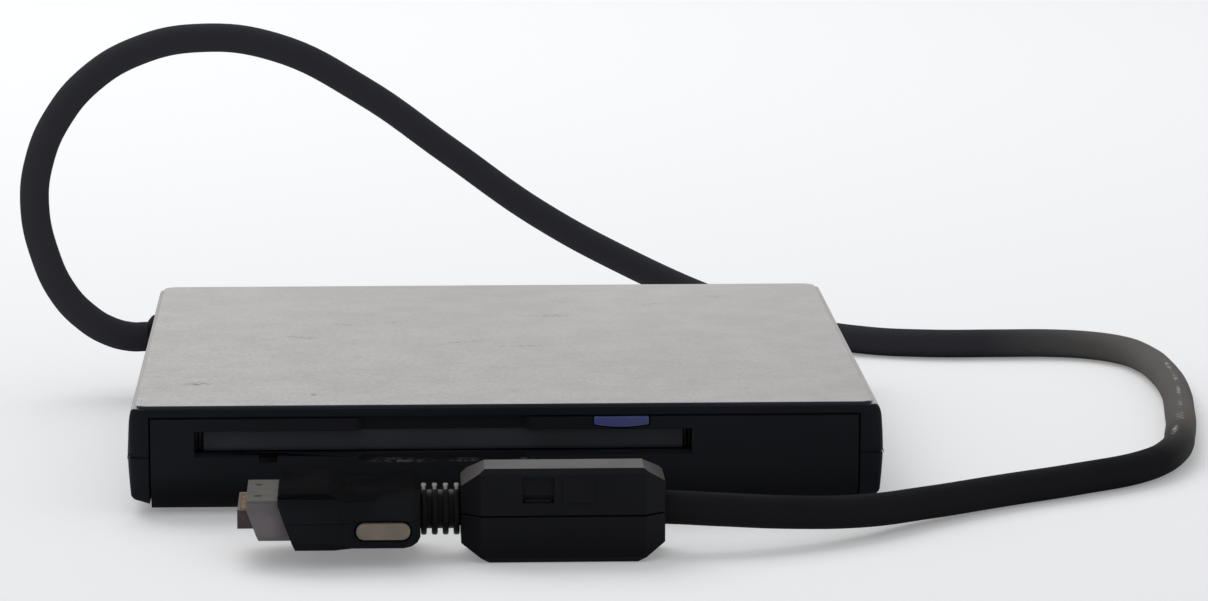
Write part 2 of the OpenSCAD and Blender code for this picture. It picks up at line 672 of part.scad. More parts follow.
// ---------------------------------------------------------------- drive unit
module drive_chassis() {
    wall_top = cover_z;
    color([0.55, 0.56, 0.57]) difference() {
        union() {
            block([cx - tray_half, unit_y0, tray_z], [cx + tray_half, unit_y1, tray_top]);
            for (s = [-1, 1]) {
                translate([cx + s * (tray_half - tray_wall / 2) - tray_wall / 2, unit_y0, tray_z])
                    cube([tray_wall, unit_d, wall_top - tray_z]);
            }
            block([cx - tray_half, unit_y1 - tray_wall, tray_z], [cx + tray_half, unit_y1, wall_top]);
            // ears
            for (s = [-1, 1]) {
                for (y = ear_ys) {
                    translate([cx + s * (tray_half + 1.5), y, tray_z + tray_t / 2])
                        cube([8, 7, tray_t], center = true);
                }
            }
            // stand-offs of the main board
            for (x = [cx - 40, cx + 40]) {
                for (y = [unit_y0 + 46.4, unit_y1 - 8]) {
                    translate([x, y, board_z + board_t]) cylinder(r = 1.5, h = tray_z - board_z - board_t + eps);
                }
            }
            // post of the latch lever
            translate([pivot_x, pivot_y, tray_z + eps]) cylinder(r = 2.2, h = lever_z - tray_z - loose - eps);
            translate([pivot_x, pivot_y, tray_z]) cylinder(r = lever_post_r, h = lever_z + lever_t + loose - tray_z);
            translate([pivot_x, pivot_y, lever_z + lever_t + 0.1]) cylinder(r = 1.9, h = 0.4);
            // supports of the guide rod
            for (y = [rod_y0, rod_y1 - 1.6]) {
                block([rod_x - 2, y, tray_z + eps], [rod_x + 2, y + 1.6, rod_z + rod_r + 0.5]);
            }
            // seats of the slide springs on the rear wall
            for (s = [-1, 1]) {
                translate([cx + s * spring_x, unit_y1 - tray_wall + eps, spring_z]) rotate([90, 0, 0])
                    cylinder(r = 0.6, h = 3);
            }
        }
        // opening that holds the motor board
        translate([cx, spindle_y, tray_z - 1]) linear_extrude(tray_t + 2) motor_board_plan(seat);
        // window for the head flex
        block([cx - 6, flex_y0 - 6, tray_z - 1], [cx + 4, flex_y0 + 12, tray_top + eps]);
        // holes of the ears
        for (s = [-1, 1]) {
            for (y = ear_ys) {
                translate([cx + s * ear_x, y, tray_z - 1]) cylinder(r = 1.1, h = 4);
            }
        }
        // upright slots of the guide pins
        for (s = [-1, 1]) {
            for (y = cam_ys) {
                translate([cx + s * tray_half, y, 0]) upright_slot();
            }
        }
        // seat of the guide rod
        translate([rod_x, rod_y0 - 0.5, rod_z]) rotate([-90, 0, 0])
            cylinder(r = rod_r + 0.02, h = rod_y1 - rod_y0 + 1);
        // lightening holes in the floor
        for (x = [cx - 36, cx + 36]) {
            translate([x, front_y + 82, tray_z - 1]) cylinder(r = 5, h = tray_t + 2);
        }
    }
}

module upright_slot() {
    w = pin_r + cam_gap;
    rotate([0, 90, 0]) for (z = [cam_z, cam_z - drop]) {
        translate([-z, 0, -3]) cylinder(r = w, h = 6);
    }
    block([-3, -w, cam_z - drop], [3, w, cam_z]);
}

// sloped slot: the pin goes down by the drop while the plate goes forward
module cam_slot() {
    w = pin_r + cam_gap;
    slope = atan2(drop, eject_travel);
    run_l = norm([drop, eject_travel]);
    rotate([0, 90, 0]) {
        translate([-cam_z, 0, -1.5]) cylinder(r = w, h = 3);
        translate([-cam_z + drop, eject_travel, -1.5]) cylinder(r = w, h = 3);
    }
    translate([0, 0, cam_z]) rotate([-slope, 0, 0]) translate([-1.5, 0, -w]) cube([3, run_l, 2 * w]);
}

module drive_cover() {
    y0 = holder_y0;
    color([0.62, 0.63, 0.63]) difference() {
        union() {
            block([cx - tray_half - 0.45, y0, cover_z], [cx + tray_half + 0.45, unit_y1, cover_z + cover_t]);
            for (s = [-1, 1]) {
                translate([cx + s * (tray_half + 0.25) - 0.2, y0 + 4, cover_z - 3.2])
                    cube([0.4, unit_y1 - y0 - 8, 3.4]);
            }
        }
        translate([cx, spindle_y, cover_z - 1]) cylinder(r = 11, h = 3);
        for (s = [-1, 1]) {
            translate([cx + s * 30, unit_y1 - 30, cover_z - 1]) cylinder(r = 6, h = 3);
        }
    }
}

module drive_screws() {
    color([0.75, 0.75, 0.76]) for (s = [-1, 1]) {
        for (y = ear_ys) {
            translate([cx + s * ear_x, y, 0]) {
                translate([0, 0, tray_top]) cylinder(r = 1.8, h = 0.8);
                translate([0, 0, floor_z + 0.3]) cylinder(r = 0.85, h = tray_top - floor_z - 0.3 + eps);
            }
        }
    }
}

module disk_holder() {
    color([0.72, 0.72, 0.70]) difference() {
        union() {
            block([cx - holder_half, holder_y0, holder_top], [cx + holder_half, holder_y1, holder_top + holder_t]);
            for (s = [-1, 1]) {
                translate([cx + s * (holder_half - holder_t / 2) - holder_t / 2, holder_y0, channel_z - rail_t])
                    cube([holder_t, holder_y1 - holder_y0, channel_h + rail_t + eps]);
                translate([cx + s * (holder_half - 1.7) - 1.7, holder_y0, channel_z - rail_t])
                    cube([3.4, holder_y1 - holder_y0, rail_t]);
                for (y = cam_ys) {
                    translate([cx + s * (holder_half + tray_half - 0.2) / 2, y, cam_z]) rotate([0, 90, 0])
                        cylinder(r = pin_r, h = tray_half - 0.2 - holder_half + 0.2, center = true);
                }
            }
        }
        // window for the upper head and its arm
        block([cx - 8, head_y - head_travel - 8, holder_top - 1], [cx + 8, holder_y1 + 1, holder_top + 2]);
        // window over the hub
        translate([cx, spindle_y, holder_top - 1]) cylinder(r = 13, h = 3);
        for (s = [-1, 1]) {
            block([cx + s * 30 - 4, holder_y0 + 12, holder_top - 1], [cx + s * 30 + 4, holder_y0 + 40, holder_top + 2]);
        }
    }
}

module slide_plate() {
    y0 = holder_y0;
    y1 = holder_y1 + 4;
    color([0.66, 0.66, 0.64]) difference() {
        union() {
            block([cx - slide_half, y0, slide_z], [cx + slide_half, y1, slide_z + slide_t]);
            for (s = [-1, 1]) {
                translate([cx + s * (slide_half - flange_t / 2) - flange_t / 2, y0, flange_z])
                    cube([flange_t, y1 - y0, slide_z + slide_t - flange_z]);
                // rear tabs that the springs push
                translate([cx + s * spring_x - 2, y1 - 0.5, spring_z - 1.3])
                    cube([4, 0.5, slide_z + slide_t - spring_z + 1.3]);
            }
            // tongue that carries the button
            block([button_cx - 3, bezel_y + button_d, slide_z], [button_cx + 3, y0 + eps, slide_z + slide_t]);
        }
        for (s = [-1, 1]) {
            for (y = cam_ys) {
                translate([cx + s * (slide_half - flange_t / 2), y, 0]) cam_slot();
            }
        }
        // window for the upper head and its arm, open to the rear
        block([cx - 12, head_y - head_travel - 12, slide_z - 1], [cx + 12, y1 + 1, slide_z + 2]);
        translate([cx, spindle_y, slide_z - 1]) cylinder(r = 15, h = 3);
        for (s = [-1, 1]) {
            block([cx + s * 31 - 5, y0 + 14, slide_z - 1], [cx + s * 31 + 5, y0 + 46, slide_z + 2]);
        }
    }
}

// push springs behind the slide plate, as wound sleeves on their seats
module slide_springs() {
    y1 = unit_y1 - tray_wall;
    y0 = holder_y1 + 4;
    turns = 7;
    pitch = (y1 - y0 - 0.4) / turns;
    color([0.6, 0.6, 0.62]) for (s = [-1, 1]) {
        translate([cx + s * spring_x, y1 - 0.2, spring_z]) rotate([90, 0, 0]) union() {
            tube(1.05, 0.75, y1 - y0 - 0.4);
            for (i = [0 : turns]) {
                translate([0, 0, i * pitch - (i == turns ? 0.4 : 0)]) tube(1.25, 0.75, 0.4);
            }
        }
    }
}

module latch_lever() {
    color([0.30, 0.30, 0.31]) translate([pivot_x, pivot_y, lever_z]) difference() {
        union() {
            cylinder(r = 3, h = lever_t);
            rotate(-24) translate([0, -1.6, 0]) cube([15, 3.2, lever_t]);
            rotate(-24) translate([15, 0, 0]) cylinder(r = 2, h = lever_t);
            rotate(160) translate([0, -1.2, 0]) cube([6.5, 2.4, lever_t]);
        }
        translate([0, 0, -1]) cylinder(r = lever_post_r + run, h = 4);
    }
}

// close coil round the lever's post, with one leg along the lever
module latch_spring() {
    color([0.6, 0.6, 0.62]) translate([pivot_x, pivot_y, lever_z - loose]) union() {
        translate([0, 0, -1.2]) tube(2.75, 2.25, 1);
        rotate(-24) translate([2, -1.9, -0.45]) cube([5, 0.25, 0.25]);
    }
}

// ---------------------------------------------------------------- spindle motor
module spindle_bearing() {
    color([0.72, 0.58, 0.32]) translate([cx, spindle_y, tray_z]) union() {
        tube(bearing_r, shaft_r + run, board_t + eps);
        translate([0, 0, board_t]) tube(bearing_r + 1, shaft_r + run, rotor_z - tray_z - board_t - 0.1);
    }
}

module spindle_shaft() {
    color([0.8, 0.8, 0.8]) translate([cx, spindle_y, tray_z + 0.2]) union() {
        cylinder(r = shaft_r, h = shaft_top - 0.4 - tray_z - 0.2);
        translate([0, 0, shaft_top - 0.4 - tray_z - 0.2]) cylinder(r1 = shaft_r, r2 = shaft_r - 0.4, h = 0.4);
    }
}

module spindle_rotor() {
    color([0.50, 0.51, 0.53]) translate([cx, spindle_y, rotor_z]) union() {
        difference() {
            cylinder(r = rotor_r, h = rotor_h, $fn = 96);
            translate([0, 0, -eps]) cylinder(r = rotor_r - rotor_t, h = rotor_h - rotor_t + eps, $fn = 96);
            translate([0, 0, -1]) cylinder(r = shaft_r, h = rotor_h + 2);
            for (a = [0 : 60 : 300]) {
                rotate(a) translate([rotor_r * 0.78, 0, -1]) cylinder(r = 1.4, h = rotor_h + 2);
            }
        }
    }
}

module rotor_magnet() {
    color([0.18, 0.17, 0.17]) translate([cx, spindle_y, rotor_z + 0.1])
        tube(rotor_r - rotor_t, rotor_r - rotor_t - 1.8, rotor_h - rotor_t - 0.1, $fn = 96);
}

module spindle_hub() {
    color([0.78, 0.78, 0.79]) translate([cx, spindle_y, hub_z]) union() {
        difference() {
            union() {
                cylinder(r = hub_r, h = hub_h, $fn = 64);
                cylinder(r = 4, h = hub_h + 0.5);
            }
            translate([0, 0, -1]) cylinder(r = shaft_r, h = 5);
        }
        translate([-0.5, 9, hub_h - eps]) difference() {
            cylinder(r = 1, h = 1);
            translate([0, 0, 0.6]) cylinder(r = 0.4, h = 1);
        }
    }
}

// plan of the motor board: a round with a flat at the rear and a tab at the right
module motor_board_plan(gap) {
    r = rotor_r + 1.5 + gap;
    difference() {
        union() {
            circle(r, $fn = 96);
            translate([0, -14 - gap]) square([rotor_r + 11 + gap, 28 + 2 * gap]);
        }
        translate([-2 * r, rotor_r - 0.4 + gap]) square(4 * r);
    }
}

module motor_board() {
    color([0.16, 0.34, 0.22]) translate([cx, spindle_y, motor_board_z]) difference() {
        linear_extrude(board_t) motor_board_plan(0);
        translate([0, 0, -1]) cylinder(r = bearing_r + run, h = board_t + 2);
    }
}

module stator_coils() {
    n = 9;
    color([0.72, 0.42, 0.2]) translate([cx, spindle_y, motor_board_z + board_t]) for (i = [0 : n - 1]) {
        rotate(i * 360 / n) translate([10.6, 0, 0]) difference() {
            translate([-3.4, -2.6, 0]) cube([6.8, 5.2, rotor_h - rotor_t + 0.1]);
            translate([-1.6, -0.9, -1]) cube([3.2, 1.8, rotor_h + 2]);
        }
    }
}

// ---------------------------------------------------------------- heads
module head_carriage() {
    nut_r = screw_r + 0.9;
    color([0.23, 0.23, 0.24]) difference() {
        union() {
            block([cx - 6.5, carriage_y0, carriage_z], [cx + 6.5, carriage_y1, carriage_z + carriage_h]);
            // sleeve on the guide rod and its web
            translate([rod_x, carriage_y0 + 6, rod_z]) rotate([-90, 0, 0])
                cylinder(r = sleeve_r, h = carriage_y1 - carriage_y0 - 6);
            block([cx + 6, carriage_y0 + 8, rod_z - 0.8], [rod_x, carriage_y1 - 2, rod_z + 0.8]);
            // arm and half nut on the lead screw
            block([screw_x, nut_y, carriage_z], [cx - 6, carriage_y1, carriage_z + carriage_h]);
            block([screw_x - nut_r, nut_y, carriage_z], [screw_x + nut_r, carriage_y1, screw_z]);
            // fork of the upper arm
            for (s = [-1, 1]) {
                translate([cx + s * 5.3 - 1.2, carriage_y1 - 3, carriage_z])
                    cube([2.4, 5.2, carriage_h]);
                translate([cx + s * 5.3 - 1.2, arm_ax_y - 1.5, carriage_z + carriage_h - eps])
                    cube([2.4, 3, arm_ax_z - carriage_z - carriage_h]);
                translate([cx + s * 5.3 - 1.2, arm_ax_y, arm_ax_z]) rotate([0, 90, 0])
                    cylinder(r = 1.5, h = 2.4);
            }
            translate([cx - 6.5, arm_ax_y, arm_ax_z]) rotate([0, 90, 0]) cylinder(r = 0.7, h = 13);
            block([cx - 6.5, carriage_y1 - eps, carriage_z], [cx + 6.5, arm_ax_y + 1.5, carriage_z + 1]);
        }
        translate([rod_x, carriage_y0, rod_z]) rotate([-90, 0, 0])
            cylinder(r = rod_r + run, h = carriage_y1 - carriage_y0 + 2);
        translate([screw_x, nut_y - 1, screw_z]) rotate([-90, 0, 0])
            cylinder(r = screw_r + run, h = nut_t + 2);
        block([cx - 4, carriage_y0 + 9, carriage_z - 1], [cx + 4, carriage_y1 - 6, carriage_z + carriage_h - 0.9]);
    }
}

module guide_rod() {
    color([0.8, 0.8, 0.8]) translate([rod_x, rod_y0 - 0.3, rod_z]) rotate([-90, 0, 0])
        cylinder(r = rod_r, h = rod_y1 - rod_y0 + 0.6);
}

module lower_head() {
    color([0.85, 0.84, 0.8]) union() {
        block([cx - head_w / 2, head_y - 3, carriage_z + carriage_h], [cx + head_w / 2, head_y + 3, channel_z - 0.8]);
        block([cx - head_w / 2 + 0.6, head_y - 2.2, channel_z - 0.8 - eps],
              [cx + head_w / 2 - 0.6, head_y + 2.2, channel_z - 0.25]);
    }
}

arm_rise = head_rest_z + 0.6 + arm_t / 2 - arm_ax_z;
module upper_arm() {
    color([0.70, 0.70, 0.71]) difference() {
        union() {
            // bar from the pivot to the head, sloped up at rest
            along_x(cx - 3.6, cx + 3.6) polygon([
                [arm_ax_y, arm_ax_z - arm_t / 2], [arm_ax_y, arm_ax_z + arm_t / 2],
                [head_y + 3.4, arm_ax_z + arm_rise + arm_t / 2],
                [head_y - 3.4, arm_ax_z + arm_rise + arm_t / 2],
                [head_y - 3.4, arm_ax_z + arm_rise - arm_t / 2],
                [head_y + 3, arm_ax_z + arm_rise - arm_t / 2]]);
            translate([cx - 3.6, arm_ax_y, arm_ax_z]) rotate([0, 90, 0]) cylinder(r = 1.7, h = 7.2);
        }
        translate([cx - 5, arm_ax_y, arm_ax_z]) rotate([0, 90, 0]) cylinder(r = 0.7 + run, h = 10);
    }
}

module upper_head() {
    z1 = arm_ax_z + arm_rise - arm_t / 2;
    color([0.85, 0.84, 0.8]) union() {
        block([cx - head_w / 2, head_y - 3, head_rest_z + 0.25], [cx + head_w / 2, head_y + 3, z1]);
        block([cx - head_w / 2 + 0.6, head_y - 2.2, head_rest_z],
              [cx + head_w / 2 - 0.6, head_y + 2.2, head_rest_z + 0.25 + eps]);
    }
}

module arm_spring() {
    color([0.6, 0.6, 0.62]) for (s = [-1, 1]) {
        translate([cx + s * 3.85 - 0.12, arm_ax_y, arm_ax_z]) rotate([0, 90, 0])
            tube(1.3, 0.7 + run, 0.24);
    }
}

module stepper_motor() {
    color([0.42, 0.42, 0.43]) translate([screw_x, stepper_y0, screw_z]) rotate([-90, 0, 0]) union() {
        difference() {
            union() {
                cylinder(r = stepper_r, h = stepper_l);
                translate([0, 0, 0.8]) cylinder(r = stepper_r + 0.15, h = 0.5);
            }
            translate([0, 0, -1]) cylinder(r = screw_r + run, h = 4);
            translate([0, 0, stepper_l / 2]) difference() {
                cylinder(r = stepper_r + 1, h = 0.4);
                translate([0, 0, -1]) cylinder(r = stepper_r - 0.3, h = 3);
            }
        }
    }
}

module lead_screw() {
    y0 = bracket_y + 0.1;
    color([0.78, 0.78, 0.76]) translate([screw_x, y0, screw_z]) rotate([-90, 0, 0]) union() {
        cylinder(r = screw_r - 0.4, h = 1);
        translate([0, 0, 0.95]) cylinder(r = screw_r, h = stepper_y0 + 1.6 - y0 - 0.95);
    }
}

module screw_bracket() {
    color([0.55, 0.56, 0.57]) difference() {
        union() {
            block([screw_x - 2.4, bracket_y, tray_top], [screw_x + 2.4, bracket_y + 0.8, screw_z]);
            translate([screw_x, bracket_y, screw_z]) rotate([-90, 0, 0]) cylinder(r = 2.4, h = 0.8);
            block([screw_x - 2.4, bracket_y - 3, tray_top], [screw_x + 2.4, bracket_y + 0.8, tray_top + 0.8]);
        }
        translate([screw_x, bracket_y - 1, screw_z]) rotate([-90, 0, 0]) cylinder(r = screw_r - 0.4 + run, h = 4);
    }
}

module track_sensor() {
    x0 = cx + 3;
    y0 = arm_ax_y + 2;
    color([0.12, 0.12, 0.12]) difference() {
        block([x0, y0, tray_top], [x0 + 3.4, y0 + 1.8, tray_top + 3]);
        block([x0 + 1.2, y0 - 1, tray_top + 1], [x0 + 2.2, y0 + 3, tray_top + 4]);
    }
}

module disk_switches() {
    color([0.15, 0.15, 0.16]) for (p = [[-38, 12], [38, 12], [-38, 84]]) {
        translate([cx + p[0] - 2.5, unit_y0 + p[1], tray_top]) union() {
            cube([5, 4, 3.2]);
            translate([2.5, 2, 0]) cylinder(r = 0.7, h = channel_z - 0.4 - tray_top);
        }
    }
}

// ---------------------------------------------------------------- boards and wiring
module main_board() {
    color([0.14, 0.32, 0.2]) block([cx - 44, unit_y0 + 42.4, board_z], [cx + 44, unit_y1 - 4, board_z + board_t]);
}

module board_chips() {
    color([0.08, 0.08, 0.08]) {
        translate([cx - 30, front_y + 60, board_z - 0.7]) cube([12, 12, 0.7]);
        translate([cx + 8, front_y + 66, board_z - 0.7]) cube([16, 10, 0.7]);
        translate([cx - 12, front_y + 92, board_z - 0.7]) cube([9, 9, 0.7]);
        translate([cx + 24, front_y + 96, board_z - 0.7]) cube([10, 6, 0.7]);
    }
}

// flat strip from the carriage down through the chassis to the main board
module head_flex() {
    y0 = flex_y0;
    z1 = carriage_z - 0.2;
    color([0.62, 0.4, 0.16]) along_x(cx - 4, cx + 2) polygon([
        [y0, z1 - 0.2], [y0, z1], [y0 + 8.2, z1], [y0 + 9.8, board_z + board_t + 0.2],
        [y0 + 11, board_z + board_t + 0.2], [y0 + 11, board_z + board_t],
        [y0 + 9.65, board_z + board_t], [y0 + 8.05, z1 - 0.2]]);
}

module relay_board() {
    color([0.14, 0.32, 0.2]) block([relay_x0, relay_y0, relay_z], [relay_x1, relay_y1, relay_z + board_t]);
}

module relay_parts() {
    z = relay_z + board_t;
    color([0.85, 0.84, 0.78]) {
        w = relay_x1 - relay_x0 - 4.6;
        translate([relay_x0 + 0.6, relay_y1 - 6, z]) cube([w, 4.2, 3.6]);
        translate([relay_mid - w / 2, relay_y0 + 20, z]) cube([w, 12, 1.4]);
        translate([relay_mid, relay_y0 + 12, z]) cylinder(r = 2.5, h = 5);
    }
}

// flat ribbon from the main board to the relay board, under the chassis wall
module board_ribbon() {
    x0 = cx + 40;
    z0 = board_z + board_t;
    color([0.82, 0.82, 0.8]) along_y(front_y + 70, front_y + 86) polygon([
        [x0, z0], [x0, z0 + 0.25], [cx + tray_half + 2.4, z0 + 0.25],
        [relay_x0 - 0.5, relay_z + board_t + 0.25], [relay_x0 + 2, relay_z + board_t + 0.25],
        [relay_x0 + 2, relay_z + board_t], [relay_x0 - 0.4, relay_z + board_t],
        [cx + tray_half + 2.6, z0]]);
}

module inner_wires() {
    color([0.12, 0.12, 0.13]) swept(wire_route, wire_r, 8);
}

module cable_clamp() {
    z0 = gland_z - cord_r + 1.2;
    color([0.55, 0.55, 0.56]) difference() {
        union() {
            block([clamp_x0, gland_y - 7, gland_z + wire_r + 0.1], [clamp_x0 + 3.2, gland_y + 7, gland_z + wire_r + 0.9]);
            for (s = [-1, 1]) {
                translate([clamp_x0 + 1.6, gland_y + s * 5.6, z0]) cylinder(r = 1.4, h = gland_z + wire_r + 0.2 - z0);
            }
        }
        for (s = [-1, 1]) {
            translate([clamp_x0 + 1.6, gland_y + s * 5.6, z0 - 1]) cylinder(r = 0.6, h = 12);
        }
    }
}

// ---------------------------------------------------------------- lead
module cable_gland() {
    color([0.07, 0.07, 0.07]) translate([-half_w, gland_y, gland_z]) rotate([0, 90, 0]) rotate_extrude()
        polygon([[0, -gland_out], [cord_r + 0.35, -gland_out], [gland_r - 0.3, -gland_out + 0.8],
            [gland_r, -0.05], [gland_r - 0.4, -0.05], [gland_r - 0.4, wall_t + 0.05],
            [gland_r + 0.4, wall_t + 0.05], [gland_r + 0.4, wall_t + 1.1],
            [wire_r + run, wall_t + 1.1], [wire_r + run, 0], [0, 0]]);
}

module cord() {
    color([0.10, 0.10, 0.11]) swept(cord_route, cord_r, cord_sides);
}

// octagonal snap case, cut by three outlines
module ferrite_blank() {
    y0 = lead_y - ferrite_w / 2;
    y1 = lead_y + ferrite_w / 2;
    x0 = ferrite_x0;
    x1 = ferrite_x1;
    h = ferrite_h;
    intersection() {
        along_x(x0, x1) polygon([[y0 + 1, 0], [y0, 1], [y0, h - 1], [y0 + 1, h], [lead_y + 0.8, h],
            [y1, h - 3.4], [y1, 2], [y1 - 2, 0]]);
        along_y(y0 - 1, y1 + 1) polygon([[x0 + 5, 0], [x0, 3.2], [x0, h - 3.5], [x0 + 4.2, h],
            [x1 - 4, h], [x1, h - 2.8], [x1, 3.2], [x1 - 5, 0]]);
        linear_extrude(h) polygon([[x0 + 3.6, y0], [x1 - 3.6, y0], [x1, y0 + 3], [x1, y1 - 3],
            [x1 - 3.6, y1], [x0 + 3.6, y1], [x0, y1 - 3], [x0, y0 + 3]]);
    }
}

core_l = ferrite_l - 8.6;
core_w = ferrite_w - 2 * ferrite_wall - 0.9;
core_h = ferrite_h / 2 - ferrite_wall - 1.8;
core_x0 = ferrite_x0 + (ferrite_l - core_l) / 2;

module ferrite_half(upper) {
    z0 = upper ? ferrite_split + loose / 2 : 0;
    z1 = upper ? ferrite_h : ferrite_split - loose / 2;
    difference() {
        intersection() {
            ferrite_blank();
            block([ferrite_x0 - 1, lead_y - ferrite_w, z0], [ferrite_x1 + 1, lead_y + ferrite_w, z1]);
        }
        block([core_x0 - seat, lead_y - core_w / 2 - seat, upper ? z0 - 1 : lead_z - core_h - seat],
              [core_x0 + core_l + seat, lead_y + core_w / 2 + seat, upper ? lead_z + core_h + seat : z1 + 1]);
        translate([ferrite_x0 - 1, lead_y, lead_z]) rotate([0, 90, 0])
            cylinder(r = cord_r + bore_gap, h = ferrite_l + 2);
    }
}

hinge_y = lead_y + ferrite_w / 2 + 1.8;
hinge_z = ferrite_split;
knuckle_r = 1.5;
hinge_pin_r = 0.7;
module knuckle(x0, x1, upper) {
    along_x(x0, x1) difference() {
        union() {
            translate([hinge_y, hinge_z]) circle(knuckle_r);
            translate([hinge_y - 1.9, upper ? hinge_z + loose / 2 : hinge_z - knuckle_r])
                square([1.9, knuckle_r - loose / 2]);
        }
        if (upper) {
            translate([hinge_y, hinge_z]) circle(hinge_pin_r + run);
        }
    }
}

module ferrite_lower() {
    hx = ferrite_x0 + ferrite_l / 2;
    color([0.10, 0.10, 0.11]) union() {
        ferrite_half(false);
        knuckle(hx - 9, hx - 5.3, false);
        knuckle(hx + 5.3, hx + 9, false);
        translate([hx - 6, hinge_y, hinge_z]) rotate([0, 90, 0]) cylinder(r = hinge_pin_r, h = 12);
        // hook that shows in the window of the upper half
        block([ferrite_x0 + 11.4, lead_y - ferrite_w / 2 + 0.8, ferrite_split - 2],
              [ferrite_x0 + 16.2, lead_y - ferrite_w / 2 + 1.25, ferrite_split + 3]);
    }
}

module ferrite_upper() {
    hx = ferrite_x0 + ferrite_l / 2;
    y0 = lead_y - ferrite_w / 2;
    color([0.11, 0.11, 0.12]) union() {
        difference() {
            ferrite_half(true);
            // latch window, and the room behind it for the hook
            block([ferrite_x0 + 11, y0 - 1, ferrite_split + 2.4], [ferrite_x0 + 16.7, y0 + 1, ferrite_split + 7]);
            block([ferrite_x0 + 11, y0 + 0.45, ferrite_split - 1], [ferrite_x0 + 16.7, y0 + 1.55, ferrite_split + 3.6]);
        }
        knuckle(hx - 5, hx + 5, true);
        // raised tongue beside the window
        block([ferrite_x0 + 18.2, y0 - 0.35, ferrite_split + 2.4], [ferrite_x0 + 24, y0 + 0.2, ferrite_split + 7]);
    }
}

module ferrite_core(upper) {
    z0 = upper ? lead_z + 0.2 : lead_z - core_h;
    z1 = upper ? lead_z + core_h : lead_z - 0.2;
    color([0.22, 0.22, 0.23]) difference() {
        block([core_x0, lead_y - core_w / 2, z0], [core_x0 + core_l, lead_y + core_w / 2, z1]);
        translate([core_x0 - 1, lead_y, lead_z]) rotate([0, 90, 0]) cylinder(r = cord_r + bore_gap, h = core_l + 2);
    }
}

module ferrite_core_lower() {
    ferrite_core(false);
}

module ferrite_core_upper() {
    ferrite_core(true);
}

module plug_boot() {
    pitch = boot_l / boot_ribs;
    rib = pitch * 0.55;
    color([0.09, 0.09, 0.10]) translate([boot_x0, lead_y, lead_z]) rotate([0, 90, 0]) union() {
        translate([0, 0, -boot_neck]) cylinder(r = neck_r, h = boot_l + boot_neck);
        for (i = [0 : boot_ribs - 1]) {
            translate([0, 0, boot_l - i * pitch - rib]) rotate_extrude()
                polygon([[0, 0], [boot_r - 0.25 - 0.12 * (boot_ribs - 1 - i) / boot_ribs, 0],
                    [boot_r, 0.3], [boot_r, rib - 0.3], [boot_r - 0.3, rib], [0, rib]]);
        }
    }
}

// ---------------------------------------------------------------- plug
// hood outline seen from above: a block, a waist and a taper to the boot
function hood_plan() = [
    [hood_x0, -hood_w / 2 + 1], [hood_x0 + 1, -hood_w / 2], [hood_x0 + 11, -hood_w / 2],
    [hood_x0 + 13.4, -hood_w / 2 + 1.3], [hood_x1 - 1.6, -hood_w / 2 + 1.3], [hood_x1 - 0.5, -hood_w / 2 + 3.6],
    [hood_x1, -boot_r - 1.2], [hood_x1, boot_r + 1.2], [hood_x1 - 0.5, hood_w / 2 - 3.6],
    [hood_x1 - 1.6, hood_w / 2 - 1.3], [hood_x0 + 13.4, hood_w / 2 - 1.3], [hood_x0 + 11, hood_w / 2],
    [hood_x0 + 1, hood_w / 2], [hood_x0, hood_w / 2 - 1]];

// hood outline seen from the side, with the raked front and the thumb dip
function hood_side() =
    let (z0 = hood_z0, z1 = hood_z0 + hood_h, zr = hood_z0 + 0.82 * hood_h)
    [[hood_x0 + (zr - z0) * tan(rake), z0], [hood_x0, zr], [hood_x0, z1 - 0.5], [hood_x0 + 0.5, z1],
     [hood_x0 + 9, z1], [hood_x0 + 12, z1 - 1.3], [hood_x0 + 17.6, z1 - 1.3], [hood_x0 + 19.4, z1 - 0.4],
     [hood_x1 - 1.2, z1 - 0.4], [hood_x1, z1 - 0.9], [hood_x1, z0 + 1.1], [hood_x1 - 3, z0 + 0.4],
     [hood_x0 + 13, z0 + 0.4], [hood_x0 + 10, z0]];

module hood_blank() {
    z1 = hood_z0 + hood_h;
    y0 = lead_y - hood_w / 2;
    y1 = lead_y + hood_w / 2;
    intersection() {
        translate([0, lead_y, hood_z0]) linear_extrude(hood_h) polygon(hood_plan());
        along_y(y0 - 1, y1 + 1) polygon(hood_side());
        along_x(hood_x0, hood_x1) polygon([[y0 + 1.6, hood_z0], [y0, hood_z0 + 1.6], [y0, z1 - 2.2],
            [y0 + 0.7, z1 - 0.7], [y0 + 2.2, z1], [y1 - 2.2, z1], [y1 - 0.7, z1 - 0.7], [y1, z1 - 2.2],
            [y1, hood_z0 + 1.6], [y1 - 1.6, hood_z0]]);
    }
}

module hood_hollow() {
    block([hood_x0 + 1.6, lead_y - hood_w / 2 + 3.4, hood_z0 + hood_wall + 0.4],
          [hood_x1 - 3.6, lead_y + hood_w / 2 - 3.4, hood_z0 + hood_h - hood_wall - 1.3]);
    // mouth for the metal shell
    block([hood_x0 - 1, lead_y - shell_w / 2 - seat, lead_z - shell_h / 2 - seat],
          [hood_x0 + 5.2, lead_y + shell_w / 2 + seat, lead_z + shell_h / 2 + seat]);
    // seat of the boot's neck
    translate([hood_x1 - 5, lead_y, lead_z]) rotate([0, 90, 0]) cylinder(r = neck_r + run, h = 6);
    // pockets of the release buttons
    for (s = [-1, 1]) {
        translate([release_x, lead_y + s * (hood_w / 2 - 2), release_z]) release_pocket();
    }
}

module release_pocket() {
    rotate([90, 0, 0]) translate([0, 0, -3]) linear_extrude(6) oval(button_slot_l + 0.4, button_slot_h + 0.4);
}

module oval(l, h) {
    for (s = [-1, 1]) {
        translate([s * (l - h) / 2, 0]) circle(h / 2);
    }
    square([l - h, h], center = true);
}

